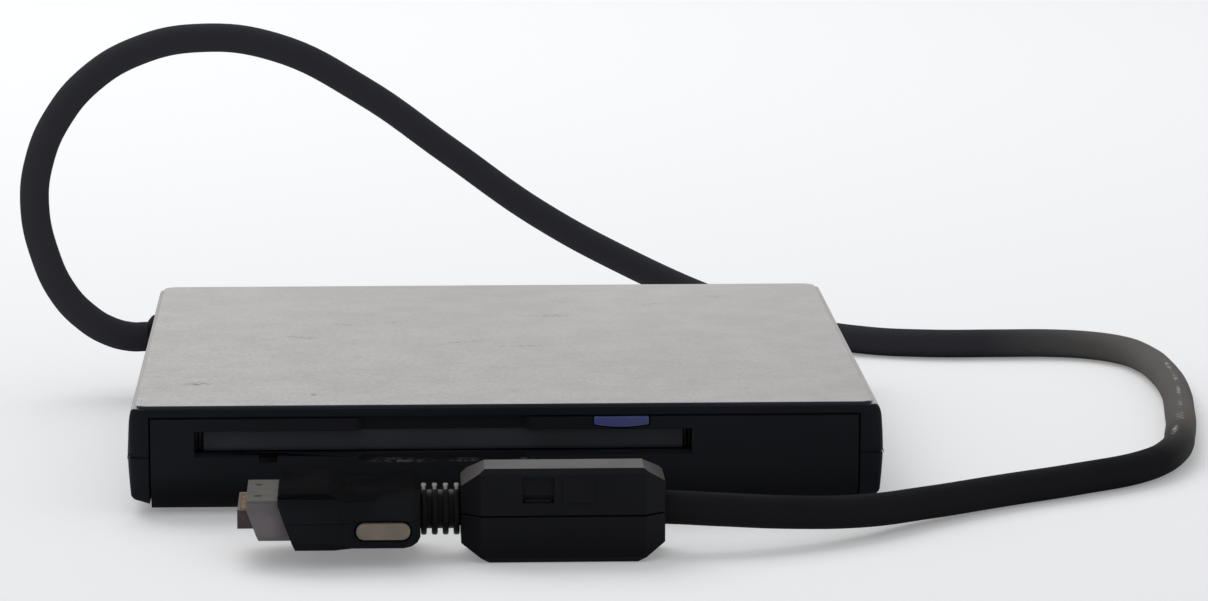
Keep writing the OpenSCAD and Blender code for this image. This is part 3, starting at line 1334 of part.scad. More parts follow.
module hood_lower() {
    color([0.085, 0.085, 0.10]) difference() {
        intersection() {
            hood_blank();
            block([hood_x0 - 1, lead_y - hood_w, 0], [hood_x1 + 1, lead_y + hood_w, lead_z]);
        }
        hood_hollow();
    }
}

module hood_upper() {
    color([0.085, 0.085, 0.10]) difference() {
        intersection() {
            hood_blank();
            block([hood_x0 - 1, lead_y - hood_w, lead_z], [hood_x1 + 1, lead_y + hood_w, lead_z + hood_h]);
        }
        hood_hollow();
    }
}

// metal shell with a raked mouth; its inside is open to the tongue
module plug_shell() {
    x1 = hood_x0 + 5;
    w = shell_w;
    h = shell_h;
    z0 = lead_z - h / 2;
    color([0.46, 0.45, 0.43]) difference() {
        intersection() {
            along_x(shell_x0, x1) translate([lead_y, lead_z]) rounded_plan(w / 2, h / 2, 1.4);
            along_y(lead_y - w, lead_y + w) polygon([[shell_x0, lead_z + h / 2 + 1], [shell_x0, lead_z + 0.32 * h],
                [shell_x0 + (0.82 * h) * tan(rake), z0], [x1, z0 - 1], [x1, lead_z + h / 2 + 1]]);
        }
        along_x(shell_x0 - 1, x1 - 0.8) translate([lead_y, lead_z])
            rounded_plan(w / 2 - shell_t, h / 2 - shell_t, 1);
        // dimple holes in the upper side
        for (s = [-1, 1]) {
            translate([shell_x0 + 2.1, lead_y + s * 5, lead_z + h / 2 - 1]) cylinder(r = 0.7, h = 2);
        }
        for (y = [-0.36, 0.36]) {
            block([x1 - 1, lead_y + y * w - 1.5, lead_z - 1], [x1 + 1, lead_y + y * w + 1.5, lead_z + 1]);
        }
    }
}

tongue_x0 = shell_x0 - 1.6;
tongue_h = 3.4;
module plug_tongue() {
    x1 = hood_x0 + 4.2;
    w = shell_w - 5;
    color([0.42, 0.32, 0.26]) difference() {
        union() {
            block([tongue_x0, lead_y - w / 2, lead_z - tongue_h / 2], [x1, lead_y + w / 2, lead_z + tongue_h / 2]);
            along_x(hood_x0 + 1.4, x1) translate([lead_y, lead_z])
                rounded_plan(shell_w / 2 - shell_t - seat, shell_h / 2 - shell_t - seat, 1);
        }
        for (i = [0 : contacts - 1]) {
            for (s = [-1, 1]) {
                translate([tongue_x0 + 0.5, contact_y(i) - 0.35, lead_z + s * tongue_h / 2 - 0.3])
                    cube([x1 - tongue_x0, 0.7, 0.6]);
            }
        }
    }
}

function contact_y(i) = lead_y + (i - (contacts - 1) / 2) * (shell_w - 6.4) / contacts;
module plug_contacts() {
    color([0.75, 0.58, 0.3]) for (i = [0 : contacts - 1]) {
        for (s = [-1, 1]) {
            translate([tongue_x0 + 0.6, contact_y(i) - 0.25, lead_z + s * (tongue_h / 2 - 0.05) - 0.2])
                cube([hood_x0 + 3.6 - tongue_x0, 0.5, 0.4]);
        }
    }
}

// a release button stands out of the hood by a little less than its travel
module release(s) {
    proud = release_travel - 0.2;
    color([0.62, 0.57, 0.50]) translate([release_x, lead_y + s * (hood_w / 2 - 1.3), release_z]) union() {
        rotate([90, 0, 0]) translate([0, 0, s < 0 ? -1.2 : -proud]) linear_extrude(1.2 + proud)
            oval(button_slot_l - 0.2, button_slot_h - 0.2);
    }
}

module release_near() {
    release(-1);
}

module release_far() {
    release(1);
}

lid_panel();
case_top();
case_bottom();
front_bezel();
rubber_feet();
case_screws();
slot_flap();
flap_spring();
eject_button();
lamp_window();
activity_lamp();
drive_chassis();
drive_cover();
drive_screws();
disk_holder();
slide_plate();
slide_springs();
latch_lever();
latch_spring();
spindle_bearing();
spindle_shaft();
spindle_rotor();
rotor_magnet();
spindle_hub();
motor_board();
stator_coils();
head_carriage();
guide_rod();
lower_head();
upper_arm();
upper_head();
arm_spring();
stepper_motor();
lead_screw();
screw_bracket();
track_sensor();
disk_switches();
main_board();
board_chips();
head_flex();
relay_board();
relay_parts();
board_ribbon();
inner_wires();
cable_clamp();
cable_gland();
cord();
ferrite_lower();
ferrite_upper();
ferrite_core_lower();
ferrite_core_upper();
plug_boot();
hood_lower();
hood_upper();
plug_shell();
plug_tongue();
plug_contacts();
release_near();
release_far();
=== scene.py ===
# %% [markdown]
# # An external floppy disk drive and its lead
# This lesson dresses a small portable drive: a pale satin lid on a black plastic case, a bezel
# with a disk slot, and a thick fixed lead that ends in a snap-on ferrite case and a wide plug.
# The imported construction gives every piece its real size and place, so the work here is the part
# that the eye judges: rounded edges, the run of the lead, and finishes that are never one flat
# colour.

import math

import bpy
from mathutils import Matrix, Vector


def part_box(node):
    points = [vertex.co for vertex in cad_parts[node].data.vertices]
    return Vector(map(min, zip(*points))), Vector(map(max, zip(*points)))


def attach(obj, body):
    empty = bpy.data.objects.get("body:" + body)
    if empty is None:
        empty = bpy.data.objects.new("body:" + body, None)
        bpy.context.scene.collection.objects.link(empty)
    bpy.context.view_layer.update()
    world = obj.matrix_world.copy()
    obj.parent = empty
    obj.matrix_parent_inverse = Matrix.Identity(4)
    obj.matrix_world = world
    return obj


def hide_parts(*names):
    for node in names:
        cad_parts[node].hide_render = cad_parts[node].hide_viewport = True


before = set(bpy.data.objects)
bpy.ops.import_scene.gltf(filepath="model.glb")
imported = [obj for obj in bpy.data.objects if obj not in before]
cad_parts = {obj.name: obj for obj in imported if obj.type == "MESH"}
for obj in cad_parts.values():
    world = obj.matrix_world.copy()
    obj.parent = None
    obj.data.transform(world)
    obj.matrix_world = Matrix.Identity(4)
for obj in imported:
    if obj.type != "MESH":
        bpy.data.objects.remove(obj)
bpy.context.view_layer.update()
MM = 0.001
print("nodes in the frame:", len(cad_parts))

# %% [markdown]
# ## The camera
# The picture was taken from a metre away with a long lens, a little above the table. A far camera
# with a narrow view keeps the case's side edges almost parallel, which a near camera with a wide
# view never does. The lens follows from the focal length in pixels of a frame 1208 pixels wide.

# %% Camera at the photograph's angle
FRAME_WIDTH_PX = 1208
FOCAL_PX = 5101.1
SENSOR_MM = 36
CAMERA_PLACE = (-22.5, -1005.8, 200.2)
YAW, PITCH, ROLL = 2.489, 9.651, -0.058
FARTHEST = 50

camera_data = bpy.data.cameras.new("camera")
camera_data.sensor_width = SENSOR_MM
camera_data.lens = FOCAL_PX / FRAME_WIDTH_PX * SENSOR_MM
camera_data.clip_end = FARTHEST
camera = bpy.data.objects.new("camera", camera_data)
camera.location = Vector(CAMERA_PLACE) * MM
camera.rotation_euler = (math.radians(90 - PITCH), math.radians(ROLL), math.radians(-YAW))
bpy.context.scene.collection.objects.link(camera)
bpy.context.scene.camera = camera
print("lens of", round(camera_data.lens, 1), "mm")

# %% [markdown]
# ## The lead
# A lead is one length of something flexible, so it is a curve and not a mesh: the curve's own line
# is the middle of the copper, and its bevel is the rubber jacket. The stiff jacket has taken a set.
# It leaves the left wall, stands up in an arch of its own, comes down behind the case, and runs
# along the table round the right side to the ferrite case in front. Automatic Bezier handles give
# every point the same easy bend on both sides, so the jacket never kinks. The bevel is one metre
# deep and each point scales it down, so the jacket's radius is set on the points.

# %% The lead as one open spline
LEAD_RADIUS = 3.1
LEAD_ROUTE = [
    (-72.3, 56, 12.4), (-76, 56, 12.4), (-80.5, 56.2, 13.6), (-85, 57, 16.2), (-90, 58.5, 21.2),
    (-94, 60.8, 29.2), (-96.2, 63.8, 39.5), (-95.2, 66.5, 48.5), (-91.5, 69.5, 57), (-84.5, 73, 65),
    (-74.5, 77, 70.5), (-62, 82.4, 72.5), (-46, 89.6, 69.7), (-27, 99.8, 58.8), (-8, 110, 43.9),
    (12, 118.3, 28.5), (32, 121, 17), (51, 116, 9), (69, 106.3, 4.2), (83, 97.5, 3.2),
    (97, 92.8, 3.2), (112, 92.4, 3.2), (124, 92, 3.2), (132, 89, 3.2), (138, 82.8, 3.2),
    (141.3, 73, 3.2), (142.8, 56, 3.2), (142.2, 34, 3.2), (139.8, 13, 3.2), (136.4, -10, 3.2),
    (131.6, -30, 3.2), (123.5, -44, 3.2), (110, -54.8, 3.2), (94, -65.3, 3.2), (78, -78.8, 3.8),
    (64, -91.4, 5), (50, -98.7, 6.5), (38, -101.6, 7.7), (27, -102.2, 8.4), (-9.2, -102.2, 8.4)]

curve = bpy.data.curves.new("lead_cable", "CURVE")
curve.dimensions = "3D"
curve.resolution_u = 8
curve.bevel_depth = 1.0
curve.bevel_resolution = 7
curve.use_fill_caps = True
spline = curve.splines.new("BEZIER")
spline.bezier_points.add(len(LEAD_ROUTE) - 1)
for point, place in zip(spline.bezier_points, LEAD_ROUTE):
    point.co = Vector(place) * MM
    point.radius = LEAD_RADIUS * MM
    point.handle_left_type = point.handle_right_type = "AUTO"
lead_cable = bpy.data.objects.new("lead_cable", curve)
bpy.context.scene.collection.objects.link(lead_cable)
bpy.context.view_layer.update()
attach(lead_cable, "drive")
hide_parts("cord")

# %% [markdown]
# ## Tools for the modelling
# Every operator works on what is selected, so each step begins by deselecting everything. These
# helpers do that, and then select faces or edges by a rule about where they are. A rule takes
# longer to write than a click, but it picks the same faces each time the lesson runs.


# %% Helpers: selecting by a rule
def only(piece):
    """Makes one object the selected and active one."""
    for other in bpy.context.selected_objects:
        other.select_set(False)
    piece.select_set(True)
    bpy.context.view_layer.objects.active = piece


def nothing_selected(piece, kind):
    """Deselects a mesh in the given select mode and returns to object mode."""
    only(piece)
    bpy.ops.object.mode_set(mode="EDIT")
    bpy.ops.mesh.select_mode(type=kind)
    bpy.ops.mesh.select_all(action="DESELECT")
    bpy.ops.object.mode_set(mode="OBJECT")


def pick_faces(piece, rule):
    """Selects in edit mode the faces for which rule(centre in mm, normal) holds."""
    nothing_selected(piece, "FACE")
    for face in piece.data.polygons:
        face.select = rule(face.center / MM, face.normal)
    bpy.ops.object.mode_set(mode="EDIT")


def pick_edges(piece, rule):
    """Selects in edit mode the edges for which rule(first point, second point), in mm, holds."""
    nothing_selected(piece, "EDGE")
    points = [vertex.co / MM for vertex in piece.data.vertices]
    for edge in piece.data.edges:
        edge.select = rule(points[edge.vertices[0]], points[edge.vertices[1]])
    bpy.ops.object.mode_set(mode="EDIT")


# %% [markdown]
# ### Smooth shading
# Smooth shading bends the light over an edge. Beside a big flat face a small bevel would bend it
# too far and make the face look like a cushion, so the biggest face at each point decides. On a
# curved wall no face should win alone, and there each counts by its area. Edges sharper than the
# given angle stay sharp.


# %% Helpers: smooth shading that leaves flat faces flat
BEVEL_SMOOTH, TURNED_SMOOTH = 40, 35
BIGGEST_DECIDES, BY_AREA = 100, 50


def even_shading(piece, weight=BIGGEST_DECIDES):
    """Sets each point's normal by the faces round it: by the biggest alone, or each by its area."""
    weigh = piece.modifiers.new("even_shading", "WEIGHTED_NORMAL")
    weigh.keep_sharp = True
    weigh.weight = weight
    bpy.ops.object.modifier_apply(modifier=weigh.name)


def finish_shape(piece):
    """Leaves edit mode with merged points, clean outward normals and smooth shading."""
    bpy.ops.object.mode_set(mode="EDIT")
    bpy.ops.mesh.select_all(action="SELECT")
    bpy.ops.mesh.remove_doubles(threshold=0.001 * MM)
    bpy.ops.mesh.normals_make_consistent(inside=False)
    bpy.ops.object.mode_set(mode="OBJECT")
    only(piece)
    bpy.ops.object.shade_smooth_by_angle(angle=math.radians(TURNED_SMOOTH))
    even_shading(piece)
    return piece


# %% [markdown]
# ### Masks on the faces
# A finish often has to know where on a piece it lies: on the rubbed edge, on a top that gets a
# painted highlight, or on a lip that gets painted shade. A number from 0 to 1 on each face tells
# it. A second material for each spot would do as well, but it can only be there or not, and a mask
# can also fade.


# %% Helpers: masks on the faces
def mark_faces(piece, mask_name, rule):
    """Writes a face mask: rule(centre in mm, normal) gives each face a value from 0 to 1."""
    mask = piece.data.attributes.new(mask_name, "FLOAT", "FACE")
    for face in piece.data.polygons:
        mask.data[face.index].value = float(rule(face.center / MM, face.normal))


def mark_edge_faces(piece):
    """Turns the material index that the bevel left on its faces into the mask named edge."""
    mask = piece.data.attributes.new("edge", "FLOAT", "FACE")
    for face in piece.data.polygons:
        mask.data[face.index].value = float(face.material_index)
        face.material_index = 0


def facing_up(start, end):
    """A rule that fades in as a face's normal turns upwards, from start to end of its height."""
    return lambda centre, normal: min(1.0, max(0.0, (normal.z - start) / (end - start)))


# %% [markdown]
# ### A copy with rounded edges
# A moulded or pressed piece has no knife-sharp edge, and the thin line of light along a rounded
# edge is what makes it look real. The construction's meshes are loose triangles with sharp edges.
# So the helper takes a copy, merges its points, joins its flat faces and bevels what is sharp. The
# bevel gives its new faces the second material slot, and that number becomes the mask of the rubbed
# edges. The slots stay empty until the piece has its finish.


# %% Helper: a merged copy of a construction piece with rounded edges
MERGE, FLAT_ANGLE, SHARP_ANGLE, BROAD_STEPS = 0.002, 1, 28, 4


def rounded_copy(node, name, radius, steps=2, broad=None, broad_radius=1.0):
    """A copy of a construction piece, merged, with its sharp edges rounded by a bevel in mm.

    The edges that the rule broad picks get the wide radius first; the bevel then rounds the rest.
    """
    piece = bpy.data.objects.new(name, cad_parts[node].data.copy())
    bpy.context.scene.collection.objects.link(piece)
    piece.data.materials.clear()
    for i in range(2):
        piece.data.materials.append(None)
    only(piece)
    bpy.ops.object.mode_set(mode="EDIT")
    bpy.ops.mesh.select_all(action="SELECT")
    bpy.ops.mesh.remove_doubles(threshold=MERGE * MM)
    bpy.ops.mesh.dissolve_limited(angle_limit=math.radians(FLAT_ANGLE))
    if broad:
        pick_edges(piece, broad)
        bpy.ops.mesh.bevel(offset=broad_radius * MM, segments=BROAD_STEPS, affect="EDGES",
            clamp_overlap=True, material=1)
    bpy.ops.object.mode_set(mode="OBJECT")
    bevel = piece.modifiers.new("rounding", "BEVEL")
    bevel.width = radius * MM
    bevel.segments = steps
    bevel.angle_limit = math.radians(SHARP_ANGLE)
    bevel.use_clamp_overlap = False
    bevel.material = 1
    bpy.ops.object.modifier_apply(modifier=bevel.name)
    mark_edge_faces(piece)
    piece.data.materials.clear()
    bpy.ops.object.shade_smooth_by_angle(angle=math.radians(BEVEL_SMOOTH))
    even_shading(piece)
    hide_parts(node)
    print(name, "has", len(piece.data.polygons), "faces")
    return piece


# %% [markdown]
# ### A turned piece
# Round pieces are made as on a lathe. A circle is extruded along its axis and resized at each step
# of the profile, which closes both ends by itself. Spinning the profile would do it too, but it
# leaves a seam to merge.


# %% Helper: a piece turned along X
def turned(name, profile, y, z, sides=48):
    """Turns a solid along X from a list of (x, radius) in mm, round the line at y and z."""
    x, radius = profile[0]
    bpy.ops.object.select_all(action="DESELECT")
    bpy.ops.mesh.primitive_circle_add(vertices=sides, radius=radius * MM, fill_type="NGON",
        location=Vector((x, y, z)) * MM, rotation=(0, math.radians(90), 0))
    piece = bpy.context.object
    piece.name = name
    bpy.ops.object.transform_apply(location=True, rotation=True, scale=True)
    bpy.ops.object.mode_set(mode="EDIT")
    bpy.ops.mesh.select_all(action="SELECT")
    for next_x, next_radius in profile[1:]:
        bpy.ops.mesh.extrude_region_move(
            TRANSFORM_OT_translate={"value": ((next_x - x) * MM, 0, 0)})
        grow = next_radius / radius
        bpy.ops.transform.resize(value=(1, grow, grow),
            center_override=Vector((next_x, y, z)) * MM)
        x, radius = next_x, next_radius
    return finish_shape(piece)


# %% [markdown]
# ## The lid sheet
# The lid is a flat sheet with round corners and a soft rim. Starting from a cube at the sheet's
# size, the four upright edges are rounded first and the upper rim second: in that order the rim's
# small bevel runs round the corners in one piece. Beside and behind, the rim gets a lighter colour,
# partly rubbing and partly a painted highlight. In front it gets painted shade, for the shadow of
# the lid's own edge.

# %% Lid sheet from a cube
lid_low, lid_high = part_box("lid_panel")
lid_mid = (lid_low + lid_high) / 2
lid_top = lid_high.z / MM
LID_CORNER, LID_RIM = 2.6, 0.3
CORNER_STEPS, RIM_STEPS = 10, 3

bpy.ops.object.select_all(action="DESELECT")
bpy.ops.mesh.primitive_cube_add(size=1, location=lid_mid, scale=lid_high - lid_low)
lid_sheet = bpy.context.object
lid_sheet.name = "lid_sheet"
bpy.ops.object.transform_apply(location=True, rotation=True, scale=True)
pick_edges(lid_sheet, lambda a, b: abs(a.z - b.z) > 0.1)
bpy.ops.mesh.bevel(offset=LID_CORNER * MM, segments=CORNER_STEPS, affect="EDGES")
pick_edges(lid_sheet, lambda a, b: min(a.z, b.z) > lid_top - 0.01)
bpy.ops.mesh.bevel(offset=LID_RIM * MM, segments=RIM_STEPS, affect="EDGES")
finish_shape(lid_sheet)
# edge: the rim beside and behind, lighter, partly rubbing and partly a painted highlight. lip: the
# front edge, which gets painted shade.
mark_faces(lid_sheet, "edge", lambda centre, normal: 0.05 < normal.z < 0.99 and normal.y > -0.5)
mark_faces(lid_sheet, "lip", lambda centre, normal: normal.y < -0.5)
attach(lid_sheet, "drive")
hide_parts("lid_panel")
print("lid sheet:", len(lid_sheet.data.polygons), "faces")

# %% [markdown]
# ## Casing, bezel, flap and button
# These pieces were moulded, so no edge on them is knife sharp. Modelling them a second time would
# only risk a gap, so each one is a merged copy of its construction piece with a small bevel. The
# radius follows the part: a casing is blunt, a flap is thin, and a button has to feel soft.

# %% Rounded casing and front
CASING = [
    # node, piece, body, slot, radius
    ("case_top", "upper_shell", "drive", "case_black", 0.22),
    ("case_bottom", "lower_shell", "drive", "case_black", 0.22),
    ("front_bezel", "bezel_face", "drive", "bezel_black", 0.14),
    ("slot_flap", "flap_door", "flap", "flap_black", 0.08),
    ("eject_button", "eject_key", "ejector", "button_violet", 0.2)]

dressed = {}
for node, name, body, slot, radius in CASING:
    dressed[name] = rounded_copy(node, name, radius)
    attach(dressed[name], body)

# %% [markdown]
# ## The side walls
# A moulded side wall isn't flat. It rolls over at the top, swells a little and draws in towards the
# foot. A wider bevel would only round the corner, so level cuts give the wall the points for the
# whole curve. The levels lie closest together at the shoulder, where the wall turns fastest. Each
# point then moves outwards by an amount that depends on its height alone, and the two shells still
# meet at their seam.


# %% Helpers: a swell that depends on the height
SWELL_LEFT, SWELL_RIGHT = 0.75, 1.2
FULLEST, SHOULDER, RIM = 12.0, 18.0, 20.5
DRAW_IN, DRAW_SPAN = 0.35, 10
STILL, SKIN = 67.2, 69.3


def standing_out(z):
    """The share of the swell at a height in mm: least at the foot, round at the shoulder."""
    share = 1 - DRAW_IN * ((z - FULLEST) / DRAW_SPAN) ** 2
    if z > SHOULDER:
        share *= math.sqrt(max(0.0, 1 - ((z - SHOULDER) / (RIM - SHOULDER)) ** 2))
    return share


def swell_sides(piece, levels):
    """Cuts the side walls at the levels and moves their outer skin outwards."""
    for level in levels:
        pick_faces(piece, lambda centre, normal: abs(centre.x) > STILL)
        bpy.ops.mesh.bisect(plane_co=(0, 0, level * MM), plane_no=(0, 0, 1))
    bpy.ops.object.mode_set(mode="OBJECT")
    for vertex in piece.data.vertices:
        x, z = vertex.co.x / MM, vertex.co.z / MM
        share = min(1.0, max(0.0, (abs(x) - STILL) / (SKIN - STILL)))
        swell = SWELL_RIGHT if x > 0 else SWELL_LEFT
        vertex.co.x += math.copysign(swell * share * standing_out(z) * MM, x)
    only(piece)
    bpy.ops.mesh.customdata_custom_splitnormals_clear()
    bpy.ops.object.shade_smooth_by_angle(angle=math.radians(BEVEL_SMOOTH))
    even_shading(piece, BY_AREA)
    print(piece.name, "has", len(piece.data.polygons), "faces")


# %% Rolled and swollen side walls
UPPER_LEVELS = (20.1, 19.9, 19.6, 19.2, 18.7, 18.0, 15.8, 13.5)
LOWER_LEVELS = (9.0, 6.5, 4.6)
BESIDE_LID, FLAT_RIM = 60, 20.3

swell_sides(dressed["upper_shell"], UPPER_LEVELS)
swell_sides(dressed["lower_shell"], LOWER_LEVELS)


def on_shoulder(centre, normal):
    """The rim and the rolled shoulder beside the lid: the paint of the lid runs over them."""
    beside = abs(centre.x) > BESIDE_LID or centre.z > FLAT_RIM
    return centre.z > SHOULDER and normal.z > 0.4 and beside


mark_faces(dressed["upper_shell"], "painted", on_shoulder)

# %% [markdown]
# ## Ferrite case and plug
# The ferrite case is thick glossy plastic with broad facets, so its long ridges get a bevel of
# their own, wider and with more steps, before the small one. The plug's hood is a soft moulding,
# and its wide bevel loses the flat facets of its outline. The small bevel alone would leave both
# pieces looking cut from card. Ridges at a seam, a window or a pocket stay crisp.

# %% Rules: the broad ridges of the ferrite case and the hood
LEAD_AXIS_Y = -102.2
FERRITE_SEAM, HOOD_SEAM = 8.6, 8.4
HINGE_HALF_WIDTH, HINGE_HALF_HEIGHT = 5.5, 7.5
MOUTH_HALF_WIDTH, MOUTH_HALF_HEIGHT = 10.4, 4.3
POCKET_X, POCKET_MIDDLE, POCKET_HALF_HEIGHT = (-29, -17.4), 6.8, 2.2
WINDOW_X, WINDOW_FRONT, WINDOW_Z = (1, 16), -109, (10, 16.3)


def between(value, limits):
    """Whether a value lies between two limits."""
    return limits[0] < value < limits[1]


def off_seam(a, b, seam, gap):
    """Whether both ends of an edge lie further than the gap from a seam's height."""
    return min(abs(a.z - seam), abs(b.z - seam)) > gap


def on_ferrite_skin(a, b):
    """The outer ridges of the ferrite case: long, and away from the seam, window and hinge."""
    middle = (a + b) / 2
    in_window = (between(middle.x, WINDOW_X) and between(middle.z, WINDOW_Z)
        and middle.y < WINDOW_FRONT)
    outside = (abs(middle.y - LEAD_AXIS_Y) > HINGE_HALF_WIDTH
        or abs(middle.z - FERRITE_SEAM) > HINGE_HALF_HEIGHT)
    return (a - b).length > 0.3 and off_seam(a, b, FERRITE_SEAM, 0.4) and outside and not in_window


def on_hood_skin(a, b):
    """The outer ridges of the hood: away from the seam, the mouth and the button pockets."""
    middle = (a + b) / 2
    outside = (abs(middle.y - LEAD_AXIS_Y) > MOUTH_HALF_WIDTH
        or abs(middle.z - HOOD_SEAM) > MOUTH_HALF_HEIGHT)
    at_pocket = (between(middle.x, POCKET_X)
        and abs(middle.z - POCKET_MIDDLE) < POCKET_HALF_HEIGHT)
    return (a - b).length > 0.6 and off_seam(a, b, HOOD_SEAM, 0.3) and outside and not at_pocket


# %% Rounded ferrite case and plug
LEAD_PIECES = [
    # node, piece, body, slot, radius, steps, rule for the broad edges, their radius
    ("ferrite_lower", "ferrite_base", "drive", "ferrite_case", 0.12, 2, on_ferrite_skin, 0.45),
    ("ferrite_upper", "ferrite_cap", "ferrite_lid", "ferrite_case", 0.12, 2, on_ferrite_skin, 0.75),
    ("hood_lower", "hood_base", "drive", "hood_black", 0.12, 2, on_hood_skin, 0.5),
    ("hood_upper", "hood_cap", "drive", "hood_black", 0.12, 2, on_hood_skin, 0.5),
    ("plug_shell", "metal_shell", "drive", "shell_metal", 0.1, 2, None, 0),
    ("plug_tongue", "tongue_block", "drive", "tongue_brown", 0.05, 1, None, 0),
    ("release_near", "near_key", "near_release", "release_cream", 0.3, 3, None, 0),
    ("release_far", "far_key", "far_release", "release_cream", 0.3, 3, None, 0)]

for node, name, body, slot, radius, steps, broad, broad_radius in LEAD_PIECES:
    dressed[name] = rounded_copy(node, name, radius, steps, broad, broad_radius)
    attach(dressed[name], body)

# %% [markdown]
# ### Where painted light and shade lie
# The flat top of the ferrite case gets a painted highlight, a pale facet above dark ones. The
# tops of the hood and of the metal shell get painted shade, darker than their sides. Each of these
# is a mask that looks at the way a face points, and the finishes below lay a second colour there.


# %% Masks on the upper sides
def on_ferrite_top(centre, normal):
    """The top and the two slanting facets of the ferrite case, which get a painted highlight."""
    return centre.z > 13.5 and normal.z > 0.6 and abs(normal.y) < 0.25


mark_faces(dressed["ferrite_cap"], "upward", on_ferrite_top)
for name in ("hood_base", "hood_cap"):
    mark_faces(dressed[name], "upward", facing_up(0.35, 0.75))
mark_faces(dressed["metal_shell"], "upward", facing_up(0.6, 0.9))
print("masked from above: ferrite case, hood and metal shell")

# %% [markdown]
# ### The boot
# The boot is a sleeve of soft rubber with ribs, which lets the lead bend without breaking at the
# plug. Its ribs are round, so it is turned: the profile climbs each rib in two short steps, which
# gives the rib its rounded rim.

# %% Boot turned with its ribs
BOOT_NECK, RIBS, RIB_SHARE = 2.0, 4, 0.55
CORE_RADIUS, RIB_RADIUS, RIB_RIM = 3.55, 4.7, 0.3
boot_low, boot_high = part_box("plug_boot")
boot_axis = (boot_low + boot_high) / 2 / MM
boot_x0, boot_x1 = boot_low.x / MM + BOOT_NECK, boot_high.x / MM
rib_pitch = (boot_x1 - boot_x0) / RIBS
rib_width = RIB_SHARE * rib_pitch

boot_profile = [(boot_x0 - BOOT_NECK, CORE_RADIUS)]
for i in range(RIBS):
    start = boot_x0 + i * rib_pitch + (rib_pitch - rib_width)
    end = start + rib_width
    boot_profile += [(start, CORE_RADIUS), (start, RIB_RADIUS - RIB_RIM),
        (start + RIB_RIM / 3, RIB_RADIUS - RIB_RIM / 3), (start + RIB_RIM, RIB_RADIUS),
        (end - RIB_RIM, RIB_RADIUS), (end - RIB_RIM / 3, RIB_RADIUS - RIB_RIM / 3),
        (end, RIB_RADIUS - RIB_RIM)]
    if i < RIBS - 1:
        boot_profile.append((end, CORE_RADIUS))
boot_sleeve = turned("boot_sleeve", boot_profile, boot_axis.y, boot_axis.z)
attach(boot_sleeve, "drive")
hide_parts("plug_boot")


def on_rib_crest(centre, normal):
    """The topmost strip of the ribs, which gets a painted highlight."""
    return normal.z > 0.86 and centre.z > boot_axis.z + RIB_RADIUS * 0.8


mark_faces(boot_sleeve, "upward", on_rib_crest)
print("boot:", len(boot_sleeve.data.polygons), "faces")

# %% [markdown]
# ### The collar
# Where the lead leaves the casing, a short collar keeps the wall from cutting it. It is a groove
# that grips the wall, with a disc outside and a disc inside, and all of it is round, so one profile
# turns the whole piece.

# %% Collar turned at the wall
GLAND_RADIUS, GLAND_NECK, LEAD_SEAT, WALL = 4.6, 3.45, 1.8, 2.05
wall_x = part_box("case_top")[0].x / MM
gland_low, gland_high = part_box("cable_gland")
gland_axis = (gland_low + gland_high) / 2 / MM
gland_x0, gland_x1 = gland_low.x / MM, gland_high.x / MM
gland_profile = [
    (gland_x0, GLAND_NECK - 0.25), (gland_x0 + 0.12, GLAND_NECK),
    (gland_x0 + 0.8, GLAND_RADIUS - 0.3), (gland_x0 + 1.1, GLAND_RADIUS - 0.1),
    (wall_x - 0.3, GLAND_RADIUS), (wall_x - 0.05, GLAND_RADIUS - 0.05),
    (wall_x - 0.05, GLAND_RADIUS - 0.4), (wall_x + WALL, GLAND_RADIUS - 0.4),
    (wall_x + WALL, GLAND_RADIUS + 0.4), (gland_x1, GLAND_RADIUS + 0.4), (gland_x1, LEAD_SEAT)]
gland_collar = turned("gland_collar", gland_profile, gland_axis.y, gland_axis.z)
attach(gland_collar, "drive")
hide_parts("cable_gland")
print("collar:", len(gland_collar.data.polygons), "faces")

# %% [markdown]
# ### The pieces on the lead
# The lead's pieces, everything threaded or fixed on it, are gathered in one list, so that whoever
# lays the lead another way knows what has to come along.

# %% The lead with the pieces on it
on_the_lead = [dressed[row[1]] for row in LEAD_PIECES] + [boot_sleeve, gland_collar]
on_the_lead += [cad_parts[node] for node in
    ("ferrite_core_lower", "ferrite_core_upper", "plug_contacts")]
print("pieces on the lead:", len(on_the_lead))

# %% [markdown]
# ## Effects that several finishes share
# A finish looks real when nothing on it is even. Four effects do most of that work: a fine grain
# that the light catches, soft clouds of a second shade, wear that follows the rounded edges, and
# short scuffs. Each is a node group with named sockets, built once and placed in many finishes.
# Node trees are long to write out, so one helper adds a node with its values, and another takes a
# list of links that reads like the lines between the nodes.


# %% Helpers: adding nodes and joining them
def add_node(tree, kind, values=(), operation=None):
    """Adds a shader node with its operation, if it has one, and its input values."""
    node = tree.nodes.new("ShaderNode" + kind)
    if operation:
        node.operation = operation
    for label, value in dict(values).items():
        node.inputs[label].default_value = value
    return node


def join(tree, *links):
    """Joins nodes; each link is a node, its output, the next node and that one's input."""
    for source, output, target, entry in links:
        tree.links.new(source.outputs[output], target.inputs[entry])


# %% Helper: an empty effect group
FLOAT, VECTOR = "NodeSocketFloat", "NodeSocketVector"


def new_effect(name, inputs, output):
    """A shader group with its sockets; returns the group and its input and output nodes."""
    group = bpy.data.node_groups.new(name, "ShaderNodeTree")
    for label, kind, value in inputs:
        socket = group.interface.new_socket(label, in_out="INPUT", socket_type=kind)
        if value is not None:
            socket.default_value = value
    group.interface.new_socket(output, in_out="OUTPUT", socket_type=FLOAT)
    print("effect:", name)
    return group, group.nodes.new("NodeGroupInput"), group.nodes.new("NodeGroupOutput")


# %% [markdown]
# ### Grain and clouds
# Both are plain noise, at two scales. The grain is so fine that it is only felt as a bump. The
# clouds are wide, and their middle values are spread by a smooth step, so that the two shades of a
# finish meet in soft patches and not in a grey mean.

